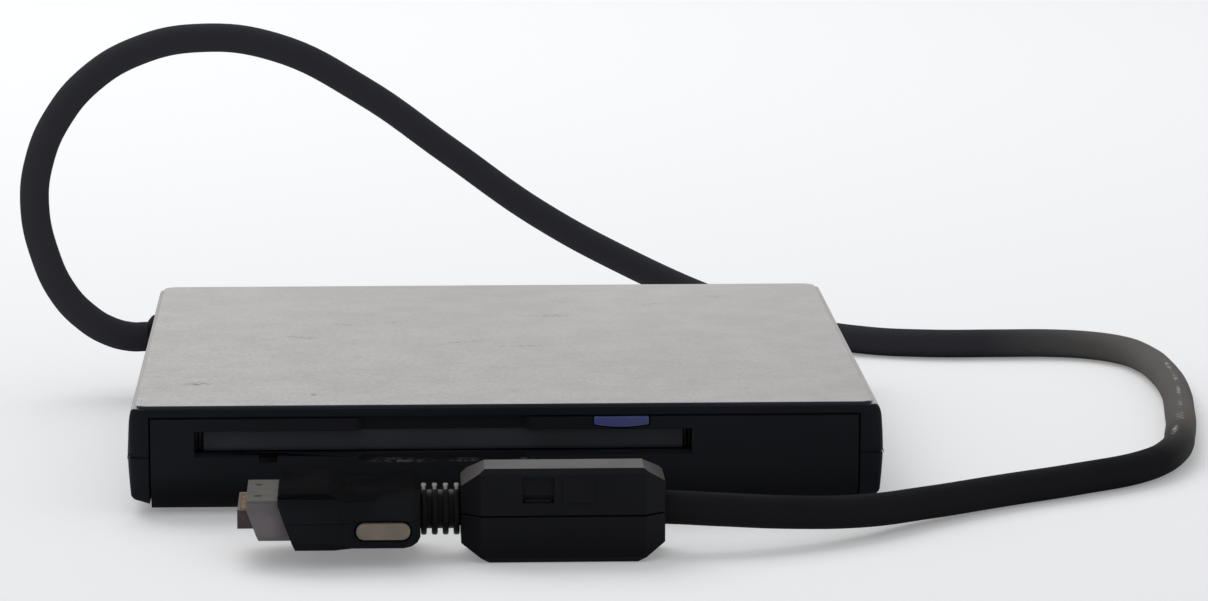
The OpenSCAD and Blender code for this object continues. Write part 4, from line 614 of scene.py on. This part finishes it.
# %% Effect: fine grain, as a height
grain_effect, inlet, outlet = new_effect("fine_grain",
    [("Vector", VECTOR, None), ("Scale", FLOAT, 2000.0)], "Height")
fine = add_node(grain_effect, "TexNoise", {"Detail": 3, "Roughness": 0.65})
join(grain_effect,
    (inlet, "Vector", fine, "Vector"),
    (inlet, "Scale", fine, "Scale"),
    (fine, "Fac", outlet, "Height"))

# %% Effect: soft clouds, as a mask
cloud_effect, inlet, outlet = new_effect("soft_clouds",
    [("Vector", VECTOR, None), ("Scale", FLOAT, 60.0)], "Mask")
cloud = add_node(cloud_effect, "TexNoise", {"Detail": 4})
spread = add_node(cloud_effect, "MapRange", {"From Min": 0.32, "From Max": 0.68})
spread.interpolation_type = "SMOOTHSTEP"
join(cloud_effect,
    (inlet, "Vector", cloud, "Vector"),
    (inlet, "Scale", cloud, "Scale"),
    (cloud, "Fac", spread, "Value"),
    (spread, "Result", outlet, "Mask"))

# %% [markdown]
# ### Wear
# Edges wear in patches, so the mask that the bevel left on the edge faces is cut up by noise: the
# larger the amount, the more of the noise gets through.

# %% Effect: wear on the rounded edges, as a mask
wear_effect, inlet, outlet = new_effect("edge_wear",
    [("Vector", VECTOR, None), ("Edge", FLOAT, 0.0), ("Amount", FLOAT, 0.5)], "Mask")
patch = add_node(wear_effect, "TexNoise", {"Scale": 260, "Detail": 5})
least = add_node(wear_effect, "Math", {0: 1.0}, "SUBTRACT")
cut = add_node(wear_effect, "MapRange", {"From Max": 0.9})
cut.interpolation_type = "SMOOTHSTEP"
hold = add_node(wear_effect, "Math", operation="MULTIPLY")
join(wear_effect,
    (inlet, "Vector", patch, "Vector"),
    (inlet, "Amount", least, 1),
    (patch, "Fac", cut, "Value"),
    (least, "Value", cut, "From Min"),
    (cut, "Result", hold, 0),
    (inlet, "Edge", hold, 1),
    (hold, "Value", outlet, "Mask"))

# %% [markdown]
# ### Scuffs
# A scuff is a soft ellipse. The distance from its place, turned and divided by its size, fades it
# out, and a fine noise breaks it up into the short strokes that a hard thing leaves.

# %% Effect: a scuff at one place, as a mask
scuff_effect, inlet, outlet = new_effect("scuff",
    [("Vector", VECTOR, None), ("Place", VECTOR, (0, 0, 0)), ("Turn", FLOAT, 0.0),
     ("Size", VECTOR, (0.01, 0.002, 0.01))], "Mask")
shift = add_node(scuff_effect, "VectorMath", operation="SUBTRACT")
spin = add_node(scuff_effect, "VectorRotate")
spin.rotation_type = "Z_AXIS"
fit = add_node(scuff_effect, "VectorMath", operation="DIVIDE")
away = add_node(scuff_effect, "VectorMath", operation="LENGTH")
fade = add_node(scuff_effect, "MapRange", {"From Min": 1.0, "From Max": 0.2})
rub = add_node(scuff_effect, "TexNoise", {"Scale": 900, "Detail": 4})
break_up = add_node(scuff_effect, "MapRange", {"From Min": 0.45, "From Max": 0.62})
both = add_node(scuff_effect, "Math", operation="MULTIPLY")
join(scuff_effect,
    (inlet, "Vector", shift, 0),
    (inlet, "Place", shift, 1),
    (shift, "Vector", spin, "Vector"),
    (inlet, "Turn", spin, "Angle"),
    (spin, "Vector", fit, 0),
    (inlet, "Size", fit, 1),
    (fit, "Vector", away, 0),
    (away, "Value", fade, "Value"),
    (inlet, "Vector", rub, "Vector"),
    (rub, "Fac", break_up, "Value"),
    (fade, "Result", both, 0),
    (break_up, "Result", both, 1),
    (both, "Value", outlet, "Mask"))

# %% [markdown]
# ## Finishes
# One builder makes the body of every finish: two close shades of the colour mixed by the clouds,
# a roughness that drifts with them, the grain as a bump, and a worn shade on the edges, which on
# the lid is also a painted highlight. What is the same all over, such as the metallic value, sits
# on the shader itself.


# %% Helpers: placing an effect and mixing two colours
def place_effect(tree, effect, **values):
    """Adds an effect group to a material and fixes the named inputs."""
    node = tree.nodes.new("ShaderNodeGroup")
    node.node_tree = effect
    for label, value in values.items():
        node.inputs[label].default_value = value
    return node


def mix_colour(tree, mask, under, over):
    """Mixes two colours by a mask; a colour may be a socket or three numbers."""
    mix = tree.nodes.new("ShaderNodeMix")
    mix.data_type = "RGBA"
    for label, colour in (("A", under), ("B", over)):
        socket = next(s for s in mix.inputs if s.name == label and s.type == "RGBA")
        if isinstance(colour, bpy.types.NodeSocket):
            tree.links.new(colour, socket)
        else:
            socket.default_value = (*colour, 1)
    tree.links.new(mask, mix.inputs["Factor"])
    return next(s for s in mix.outputs if s.type == "RGBA")


# %% Helper: the body of every finish
DRIFT = 0.12


def new_finish(name, colour, shade, rough, metallic=0.0, specular=0.5, cloud_scale=60,
               grain_scale=2500, grain_depth=0.02, worn_and_lit=None, wear=0.5):
    """A material of two shades with grain and, where an edge colour is given, edges in it: worn,
    and on the lid a painted highlight as well.
    """
    material = bpy.data.materials.new(name)
    material.use_nodes = True
    tree = material.node_tree
    shader = tree.nodes["Principled BSDF"]
    shader.inputs["Metallic"].default_value = metallic
    shader.inputs["Specular IOR Level"].default_value = specular

    place = add_node(tree, "TexCoord")
    clouds = place_effect(tree, cloud_effect, Scale=cloud_scale)
    drift = add_node(tree, "MapRange",
        {"To Min": rough * (1 - DRIFT), "To Max": min(1.0, rough * (1 + DRIFT))})
    grain = place_effect(tree, grain_effect, Scale=grain_scale)
    bump = add_node(tree, "Bump", {"Distance": grain_depth * MM})
    join(tree,
        (place, "Object", clouds, "Vector"),
        (clouds, "Mask", drift, "Value"),
        (drift, "Result", shader, "Roughness"),
        (place, "Object", grain, "Vector"),
        (grain, "Height", bump, "Height"),
        (bump, "Normal", shader, "Normal"))
    surface = mix_colour(tree, clouds.outputs["Mask"], colour, shade)

    if worn_and_lit:
        edge = add_node(tree, "Attribute")
        edge.attribute_name = "edge"
        rubbed = place_effect(tree, wear_effect, Amount=wear)
        join(tree,
            (place, "Object", rubbed, "Vector"),
            (edge, "Fac", rubbed, "Edge"))
        surface = mix_colour(tree, rubbed.outputs["Mask"], surface, worn_and_lit)
    tree.links.new(surface, shader.inputs["Base Color"])
    return material


# %% [markdown]
# ### Layers over a finish
# Scuffs, speckles, paint, and painted light and shade come on top, as glazes do on a painted
# model. Each layer takes the colour that the finish shows so far, mixes its own colour in by a
# mask, and puts the result back. So layers can be added in any number, and the last one lies on
# top.


# %% Helpers: opening a finish and laying a layer on it
def open_finish(material):
    """The node tree of a finish and its texture coordinate node."""
    tree = material.node_tree
    return tree, next(node for node in tree.nodes if node.type == "TEX_COORD")


def add_layer(material, mask, colour):
    """Mixes a colour into what the finish shows so far, where the mask says so."""
    tree = material.node_tree
    base = tree.nodes["Principled BSDF"].inputs["Base Color"]
    tree.links.new(mix_colour(tree, mask, base.links[0].from_socket, colour), base)


# %% [markdown]
# A scuff is one stroke at one place. A speckle is the clouds effect again, at a scale so fine that
# it reads as the tooth of the paint.


# %% Layers: scuffs and speckles
def add_scuffs(material, marks, colour):
    """Lays scuffs over a finish: each mark is a place in mm, a turn in degrees and a size in mm."""
    tree, place = open_finish(material)
    for middle, turn, size in marks:
        scuff = place_effect(tree, scuff_effect, Place=Vector(middle) * MM,
            Turn=math.radians(turn), Size=Vector(size) * MM)
        join(tree, (place, "Object", scuff, "Vector"))
        add_layer(material, scuff.outputs["Mask"], colour)


def add_speckle(material, scale, amount, colour):
    """Scatters a second colour finely over a finish, at most as strongly as amount."""
    tree, place = open_finish(material)
    specks = place_effect(tree, cloud_effect, Scale=scale)
    limit = add_node(tree, "MapRange", {"To Max": amount})
    join(tree,
        (place, "Object", specks, "Vector"),
        (specks, "Mask", limit, "Value"))
    add_layer(material, limit.outputs["Result"], colour)


# %% [markdown]
# A film follows one of the masks on the faces: painted highlights and painted shade on the tops,
# painted shade on the lid's front edge, and paint on the shoulder. A fade runs from one place to
# another along an axis and paints light and shade in: on the real object the light falls off over
# the lid's depth and towards the table, and a fade helps the plain studio light to do the same.


# %% Layers: films and fades
def add_film(material, mask_name, colour, behind=None):
    """Lays another colour over a finish where the face mask of that name says so.

    With behind, a place on Y in mm, it does so only further back than that.
    """
    tree, place = open_finish(material)
    mask = add_node(tree, "Attribute")
    mask.attribute_name = mask_name
    film = mask.outputs["Fac"]
    if behind is not None:
        split = add_node(tree, "SeparateXYZ")
        beyond = add_node(tree, "Math", {1: behind * MM}, "GREATER_THAN")
        meet = add_node(tree, "Math", operation="MULTIPLY")
        join(tree,
            (place, "Object", split, "Vector"),
            (split, "Y", beyond, 0),
            (mask, "Fac", meet, 0),
            (beyond, "Value", meet, 1))
        film = meet.outputs["Value"]
    add_layer(material, film, colour)


def add_fade(material, axis, start, end, colour, amount=1.0):
    """Fades a finish to another colour between two places, in mm, on one axis."""
    tree, place = open_finish(material)
    split = add_node(tree, "SeparateXYZ")
    ramp = add_node(tree, "MapRange",
        {"From Min": start * MM, "From Max": end * MM, "To Max": amount})
    join(tree,
        (place, "Object", split, "Vector"),
        (split, axis, ramp, "Value"))
    add_layer(material, ramp.outputs["Result"], colour)


# %% [markdown]
# ### The satin lid
# The lid is a light warm grey paint with a fine eggshell grain. Two close tones and two speckles
# make the tooth of the paint, which a single noise would leave either flat or cloudy. Handling
# left a few dark scuffs. The rim is brighter, partly rubbed and partly a painted highlight.
# Painted light makes the sheet a little lighter towards the back left, and painted shade makes its
# front edge nearly black, for the shadow under the lid.

# %% Lid finish
# The edge colour on the rim is lighter: partly rubbing, partly a painted highlight.
lid_satin = new_finish("lid_satin_paint", (0.512, 0.493, 0.479), (0.486, 0.468, 0.454), 0.5,
    specular=0.3, cloud_scale=110, grain_scale=1900, grain_depth=0.06,
    worn_and_lit=(0.62, 0.60, 0.58), wear=0.8)
add_speckle(lid_satin, 1300, 0.95, (0.388, 0.373, 0.363))
add_speckle(lid_satin, 420, 0.38, (0.50, 0.485, 0.472))
LID_SCUFFS = [
    # X and Y in mm, turn in degrees, length and width in mm
    (11, 28.9, 4, 8, 2.2), (-7, -1.6, -24, 8, 1.5), (4.2, -6.3, -8, 8, 1.3),
    (33.7, 42.2, -15, 5, 1.8), (46.9, 51.6, 5, 5, 1.6), (-58.4, -44.8, 12, 3.5, 3.2),
    (-35.9, -57, 0, 1.4, 2.4), (-39, 5, 12, 5, 1.6), (-20.6, 21.5, 20, 2.4, 1.6),
    (-31, 20, 24, 3, 1.4), (13.5, 46, 12, 2.4, 1.4)]
SCUFF_DEPTH = 3
add_scuffs(lid_satin, [((x, y, lid_top), turn, (long, wide, SCUFF_DEPTH))
    for x, y, turn, long, wide in LID_SCUFFS], (0.10, 0.095, 0.09))
# Painted light: lighter towards the back, darker towards the right.
add_fade(lid_satin, "Y", -30, 68, (0.60, 0.58, 0.565), 0.5)
add_fade(lid_satin, "X", -60, 70, (0.37, 0.353, 0.345), 0.38)
# Painted shade: the front edge of the sheet, nearly black for the shadow under the lid.
add_film(lid_satin, "lip", (0.006, 0.008, 0.020))
lid_sheet.data.materials.append(lid_satin)
print("scuffs on the lid:", len(LID_SCUFFS))

# %% [markdown]
# ### The black casing
# Black plastic is hard to light: what the eye reads as black is mostly a dim reflection. The case
# has a blue cast, and the bezel is a little lighter, with painted shade that darkens it towards its
# curved foot. The flap lies back in the slot, and its black is painted lighter to make up for the
# shade there. The paint of the lid runs over the case's rim and shoulder, which is a film on the
# case and no piece of its own. Below the slot, pale marks on the lower lip are partly rubbing and
# partly a painted highlight.

# %% Casing finishes
case_black = new_finish("case_plastic", (0.0118, 0.0125, 0.0168), (0.0097, 0.0104, 0.0140), 0.5,
    specular=0.06, cloud_scale=50, grain_scale=2600, grain_depth=0.02,
    worn_and_lit=(0.014, 0.014, 0.018), wear=0.45)
add_film(case_black, "painted", (0.50, 0.48, 0.46), behind=-66.8)

bezel_black = new_finish("bezel_plastic", (0.0142, 0.0148, 0.0185), (0.0118, 0.0124, 0.0155),
    0.48, specular=0.05, cloud_scale=45, grain_scale=2600, grain_depth=0.02,
    worn_and_lit=(0.015, 0.015, 0.018), wear=0.45)
# Painted shade: the bezel darkens towards its curved foot.
add_fade(bezel_black, "Z", 9, 3, (0.0062, 0.0066, 0.0080))
# Pale marks below the slot: partly rubbing, partly a painted highlight where the lower edge catches
# light.
add_scuffs(bezel_black, [
    ((-19.6, -67.7, 10.35), 0, (8, 3, 0.42)), ((-7.5, -67.7, 10.4), 0, (3.6, 3, 0.36)),
    ((4, -67.7, 10.4), 0, (4, 3, 0.3))], (0.14, 0.13, 0.12))

# The flap's black is painted lighter to make up for the shade it lies in, back in the slot.
flap_black = new_finish("flap_plastic", (0.052, 0.0535, 0.062), (0.046, 0.0475, 0.055), 0.55,
    specular=0.05, cloud_scale=80, grain_scale=2600, grain_depth=0.02,
    worn_and_lit=(0.030, 0.030, 0.036), wear=0.4)
button_violet = new_finish("button_plastic", (0.070, 0.086, 0.245), (0.060, 0.072, 0.215), 0.38,
    specular=0.3, cloud_scale=200, grain_scale=3000, grain_depth=0.01,
    worn_and_lit=(0.12, 0.14, 0.34), wear=0.8)
print("casing finishes:", case_black.name, bezel_black.name, flap_black.name, button_violet.name)

# %% [markdown]
# ### The lead's jacket
# The rubber jacket is dull, with hardly any mirror in it. Painted light makes it lighter towards
# the arch behind, a painted sheen makes it grey at the bend on the right, where a broken line of
# pale scuffs runs along the top, and painted shade darkens the run in front. Fades in turn on Y, X
# and Y again follow the lead along its way without any seam.

# %% Jacket and collar finishes
lead_black = new_finish("lead_jacket", (0.0168, 0.0163, 0.0176), (0.0138, 0.0133, 0.0145), 0.75,
    specular=0.015, cloud_scale=70, grain_scale=2400, grain_depth=0.03)
# Painted light: lighter towards the arch behind.
add_fade(lead_black, "Y", -70, 10, (0.042, 0.042, 0.049))
# Painted sheen: grey on the bend on the right.
add_fade(lead_black, "X", 108, 140, (0.150, 0.140, 0.128), 0.85)
# Painted shade: darker along the run in front.
add_fade(lead_black, "Y", -2, -42, (0.0150, 0.0145, 0.0160))
add_scuffs(lead_black, [
    ((142.7, 48, 6.2), 92, (9, 0.6, 4)), ((142.1, 33, 6.2), 94, (7, 0.6, 4)),
    ((140.5, 19, 6.2), 96.5, (7, 0.55, 4)), ((138.8, 6, 6.2), 98, (7, 0.6, 4)),
    ((136.5, -8, 6.2), 100, (5, 1.3, 4)), ((133.4, -22, 6.2), 104, (6, 0.8, 4))],
    (0.42, 0.42, 0.40))
lead_cable.data.materials.append(lead_black)

gland_black = new_finish("gland_rubber", (0.0060, 0.0060, 0.0068), (0.0048, 0.0048, 0.0054), 0.6,
    specular=0.05, cloud_scale=150, grain_scale=2600, grain_depth=0.02)
gland_collar.data.materials.append(gland_black)
print("jacket and collar have", len(lead_black.node_tree.nodes), "and",
    len(gland_black.node_tree.nodes), "nodes")

# %% [markdown]
# ### Ferrite case, boot and hood
# The ferrite case is the smoothest of the black pieces. A painted highlight makes its top the
# palest one, and painted shade darkens it towards the table. The boot's ribs get a painted
# highlight on their crests too. The hood is the dullest: its mirror is nearly off, because its
# soft skin scatters all that falls on it, and painted shade darkens its top.

# %% Finishes of the ferrite case, the boot and the hood
ferrite_black = new_finish("ferrite_plastic", (0.0112, 0.0115, 0.0136), (0.0094, 0.0097, 0.0116),
    0.32, specular=0.05, cloud_scale=70, grain_scale=3200, grain_depth=0.006,
    worn_and_lit=(0.012, 0.013, 0.022), wear=0.35)
# Painted highlight: the pale top of the ferrite case.
add_film(ferrite_black, "upward", (0.040, 0.0355, 0.0330))
# Painted shade: darker towards the table.
add_fade(ferrite_black, "Z", 9, 2, (0.0064, 0.0066, 0.0080))

boot_black = new_finish("boot_rubber", (0.0096, 0.0096, 0.0106), (0.0080, 0.0080, 0.0088), 0.35,
    specular=0.05, cloud_scale=150, grain_scale=2600, grain_depth=0.01)
# Painted highlight on the crests of the ribs.
add_film(boot_black, "upward", (0.20, 0.19, 0.165))
boot_sleeve.data.materials.append(boot_black)

hood_black = new_finish("hood_plastic", (0.0165, 0.0170, 0.0200), (0.0135, 0.0140, 0.0165), 0.9,
    specular=0.008, cloud_scale=90, grain_scale=2200, grain_depth=0.03,
    worn_and_lit=(0.016, 0.015, 0.016), wear=0.4)
# Painted shade: the top of the hood darker than its sides.
add_film(hood_black, "upward", (0.0035, 0.0035, 0.0042))
print("lead finishes:", ferrite_black.name, boot_black.name, hood_black.name)

# %% [markdown]
# ### Metal shell, tongue and side buttons
# The plug's shell is dull plated metal with a mauve cast, and painted shade makes it darker on top.
# A full metallic value would mirror the pale studio and turn it white, so it stays low, and the
# colour does the work. The tongue is brown plastic, and the side buttons are cream with rubbed
# rims.

# %% Plug finishes
shell_metal = new_finish("shell_plating", (0.190, 0.170, 0.175), (0.150, 0.136, 0.145), 0.55,
    metallic=0.15, specular=0.08, cloud_scale=180, grain_scale=3000, grain_depth=0.01,
    worn_and_lit=(0.19, 0.18, 0.15), wear=0.6)
# Painted shade: the top of the shell darker than its sides.
add_film(shell_metal, "upward", (0.066, 0.062, 0.052))
tongue_brown = new_finish("tongue_plastic", (0.092, 0.062, 0.060), (0.064, 0.048, 0.050), 0.5,
    specular=0.2, cloud_scale=300, grain_scale=3000, grain_depth=0.01)
release_cream = new_finish("release_plastic", (0.24, 0.20, 0.155), (0.19, 0.16, 0.125), 0.45,
    specular=0.35, cloud_scale=200, grain_scale=3000, grain_depth=0.01,
    worn_and_lit=(0.3, 0.26, 0.21), wear=0.5)

# %% Each dressed piece gets its finish
PIECE_FINISH = {
    "upper_shell": case_black, "lower_shell": case_black, "bezel_face": bezel_black,
    "flap_door": flap_black, "eject_key": button_violet, "ferrite_base": ferrite_black,
    "ferrite_cap": ferrite_black, "hood_base": hood_black, "hood_cap": hood_black,
    "metal_shell": shell_metal, "tongue_block": tongue_brown, "near_key": release_cream,
    "far_key": release_cream}
for name, finish in PIECE_FINISH.items():
    dressed[name].data.materials.append(finish)
print("pieces with their finish:", len(PIECE_FINISH))

# %% [markdown]
# ### What is inside
# The flap opens and shows the sheet metal behind it, and every inner piece is a real one, so none
# keeps a plain default. The finishes differ only in their numbers, so they are rows of a table and
# one loop makes them. A finish written out for each would say the same twenty times.


# %% Helper: finishes from the rows of a table
def dress_nodes(rows):
    """Makes the finish of each row and gives it to the construction's nodes in its last column."""
    for name, colour, shade, rough, metallic, specular, cloud, grain, depth, nodes in rows:
        finish = new_finish(name, colour, shade, rough, metallic, specular, cloud, grain, depth)
        for node in nodes:
            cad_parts[node].data.materials.clear()
            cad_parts[node].data.materials.append(finish)
        print(name, "on", ", ".join(nodes))


# %% [markdown]
# Metals come first. The chassis, the holder and the slide plate get a dark finish as painted shade,
# because they lie in the deep shade of the slot and would shine through it otherwise. Springs and
# shafts are bright.

# %% Inner metals
dress_nodes([
    # name, colour, shade, roughness, metallic, specular, clouds, grain, grain depth, nodes
    ("zinc_sheet", (0.42, 0.42, 0.41), (0.34, 0.34, 0.335), 0.38, 0.9, 0.5, 120, 1500, 0.01,
        ["drive_cover", "screw_bracket", "upper_arm", "spindle_rotor", "cable_clamp"]),
    ("ground_steel", (0.62, 0.61, 0.60), (0.52, 0.51, 0.50), 0.25, 1.0, 0.5, 200, 4000, 0.005,
        ["spindle_shaft", "spindle_hub", "guide_rod", "lead_screw", "drive_screws"]),
    # Dark steel for the screws and the motor, and painted shade on the chassis, holder and slide
    # plate.
    ("dark_steel_and_painted_shade", (0.050, 0.050, 0.054), (0.036, 0.036, 0.040), 0.45, 0.7, 0.5, 200, 3000, 0.01,
        ["case_screws", "stepper_motor", "drive_chassis", "disk_holder", "slide_plate"]),
    ("spring_wire", (0.40, 0.39, 0.38), (0.30, 0.29, 0.28), 0.3, 1.0, 0.5, 400, 4000, 0.005,
        ["flap_spring", "slide_springs", "latch_spring", "arm_spring"]),
    ("bush_brass", (0.45, 0.31, 0.10), (0.36, 0.24, 0.08), 0.35, 1.0, 0.5, 200, 3000, 0.01,
        ["spindle_bearing"]),
    ("coil_copper", (0.42, 0.16, 0.055), (0.30, 0.11, 0.04), 0.4, 0.7, 0.5, 500, 5000, 0.05,
        ["stator_coils"]),
    ("contact_gold", (0.32, 0.20, 0.10), (0.25, 0.155, 0.08), 0.4, 0.9, 0.5, 500, 4000, 0.005,
        ["plug_contacts"])])

# %% [markdown]
# Boards, mouldings, films and rubber follow. They don't mirror as metal does, and their grain is
# deeper, as resin and lacquer are never quite level.

# %% Inner boards and plastics
dress_nodes([
    # name, colour, shade, roughness, metallic, specular, clouds, grain, grain depth, nodes
    ("magnet_ring", (0.03, 0.028, 0.027), (0.02, 0.019, 0.018), 0.55, 0.0, 0.5, 200, 2500, 0.02,
        ["rotor_magnet"]),
    ("board_lacquer", (0.02, 0.10, 0.04), (0.012, 0.07, 0.03), 0.35, 0.0, 0.5, 250, 1200, 0.03,
        ["motor_board", "main_board", "relay_board"]),
    ("chip_resin", (0.018, 0.018, 0.019), (0.012, 0.012, 0.013), 0.6, 0.0, 0.5, 300, 3500, 0.02,
        ["board_chips", "disk_switches", "track_sensor"]),
    ("inner_plastic", (0.022, 0.022, 0.024), (0.016, 0.016, 0.018), 0.5, 0.0, 0.5, 200, 2500, 0.02,
        ["head_carriage", "latch_lever"]),
    ("head_ceramic", (0.62, 0.60, 0.54), (0.52, 0.50, 0.45), 0.3, 0.0, 0.5, 300, 3000, 0.005,
        ["lower_head", "upper_head"]),
    ("socket_nylon", (0.60, 0.57, 0.48), (0.50, 0.47, 0.40), 0.45, 0.0, 0.5, 200, 2500, 0.01,
        ["relay_parts"]),
    ("ribbon_film", (0.55, 0.55, 0.53), (0.45, 0.45, 0.44), 0.4, 0.0, 0.5, 400, 1500, 0.02,
        ["board_ribbon"]),
    ("flex_film", (0.33, 0.14, 0.03), (0.25, 0.10, 0.02), 0.3, 0.0, 0.5, 300, 1800, 0.01,
        ["head_flex"]),
    ("wire_sleeve", (0.015, 0.015, 0.016), (0.010, 0.010, 0.011), 0.5, 0.0, 0.5, 200, 2500, 0.02,
        ["inner_wires"]),
    ("foot_rubber", (0.022, 0.022, 0.023), (0.015, 0.015, 0.016), 0.8, 0.0, 0.25, 250, 1500, 0.04,
        ["rubber_feet"]),
    ("lamp_window_plastic", (0.004, 0.0045, 0.004), (0.003, 0.0035, 0.003), 0.15, 0.0, 0.1, 300,
        3000, 0.003, ["lamp_window"]),
    ("lamp_resin", (0.25, 0.30, 0.12), (0.18, 0.23, 0.09), 0.2, 0.0, 0.5, 300, 3000, 0.003,
        ["activity_lamp"]),
    ("ferrite_core", (0.045, 0.045, 0.047), (0.03, 0.03, 0.032), 0.5, 0.0, 0.5, 250, 1500, 0.03,
        ["ferrite_core_lower", "ferrite_core_upper"])])

# %% [markdown]
# ## Floor and light
# The object stands on a plain pale table in soft studio light. A wide soft box hangs above, behind
# and to the left, which brightens the lid and leaves the front dark, and the world fills in the
# rest. Rays from the camera, and those that mirror, see a floor and a world close to white, while
# the light that falls on the object stays at a plain level. More lamps would whiten the floor as
# well, but they would bleach the lid with it.


# %% Helper: a shader that shows a pale colour to the eye and another to the light
def seen_and_cast(tree, seen, cast, outlet):
    """Mixes two shaders: one for camera, mirror and glass rays, the other for light."""
    rays = add_node(tree, "LightPath")
    eye = add_node(tree, "Math", operation="MAXIMUM")
    either = add_node(tree, "Math", operation="MAXIMUM")
    mix = add_node(tree, "MixShader")
    join(tree,
        (rays, "Is Camera Ray", eye, 0),
        (rays, "Is Glossy Ray", eye, 1),
        (eye, "Value", either, 0),
        (rays, "Is Transmission Ray", either, 1),
        (either, "Value", mix, "Fac"))
    tree.links.new(cast, mix.inputs[1])
    tree.links.new(seen, mix.inputs[2])
    tree.links.new(mix.outputs["Shader"], outlet)


# %% Floor
FLOOR_SIZE = 12.0
FLOOR_GREY, FLOOR_GLOW = 0.80, 0.22

bpy.ops.object.select_all(action="DESELECT")
bpy.ops.mesh.primitive_plane_add(size=FLOOR_SIZE, location=(0, 0, 0))
floor = bpy.context.object
floor.name = "studio_floor"
floor_paper = bpy.data.materials.new("floor_paper")
floor_paper.use_nodes = True
tree = floor_paper.node_tree
paper = tree.nodes["Principled BSDF"]
paper.inputs["Base Color"].default_value = (FLOOR_GREY, FLOOR_GREY, FLOOR_GREY, 1)
paper.inputs["Roughness"].default_value = 0.9
paper.inputs["Specular IOR Level"].default_value = 0.1
glow = add_node(tree, "Emission", {"Strength": FLOOR_GLOW})
pale = add_node(tree, "AddShader")
join(tree, (paper, "BSDF", pale, 0), (glow, "Emission", pale, 1))
seen_and_cast(tree, pale.outputs["Shader"], paper.outputs["BSDF"],
    tree.nodes["Material Output"].inputs["Surface"])
floor.data.materials.append(floor_paper)
print("floor of", FLOOR_SIZE, "m")

# %% World
FILL_STRENGTH, SEEN_STRENGTH = 0.5, 0.95

world = bpy.data.worlds.new("studio")
world.use_nodes = True
bpy.context.scene.world = world
tree = world.node_tree
fill = tree.nodes["Background"]
fill.inputs["Color"].default_value = (0.95, 0.97, 1.0, 1)
fill.inputs["Strength"].default_value = FILL_STRENGTH
white = add_node(tree, "Background", {"Color": (1, 1, 1, 1), "Strength": SEEN_STRENGTH})
seen_and_cast(tree, white.outputs["Background"], fill.outputs["Background"],
    tree.nodes["World Output"].inputs["Surface"])
bpy.context.scene.view_settings.view_transform = "Standard"
print("world fills in at", FILL_STRENGTH)

# %% Soft box
SOFT_BOX_PLACE = Vector((-0.35, 0.75, 1.1))
SOFT_BOX_SIZE, SOFT_BOX_WATTS = 1.1, 8.5

soft_box = bpy.data.lights.new("soft_box", "AREA")
soft_box.shape = "SQUARE"
soft_box.size = SOFT_BOX_SIZE
soft_box.energy = SOFT_BOX_WATTS
soft_box_holder = bpy.data.objects.new("soft_box", soft_box)
soft_box_holder.location = SOFT_BOX_PLACE
soft_box_holder.rotation_euler = (-SOFT_BOX_PLACE).to_track_quat("-Z", "Y").to_euler()
bpy.context.scene.collection.objects.link(soft_box_holder)
print("soft box", round(SOFT_BOX_PLACE.length, 2), "m from the object")
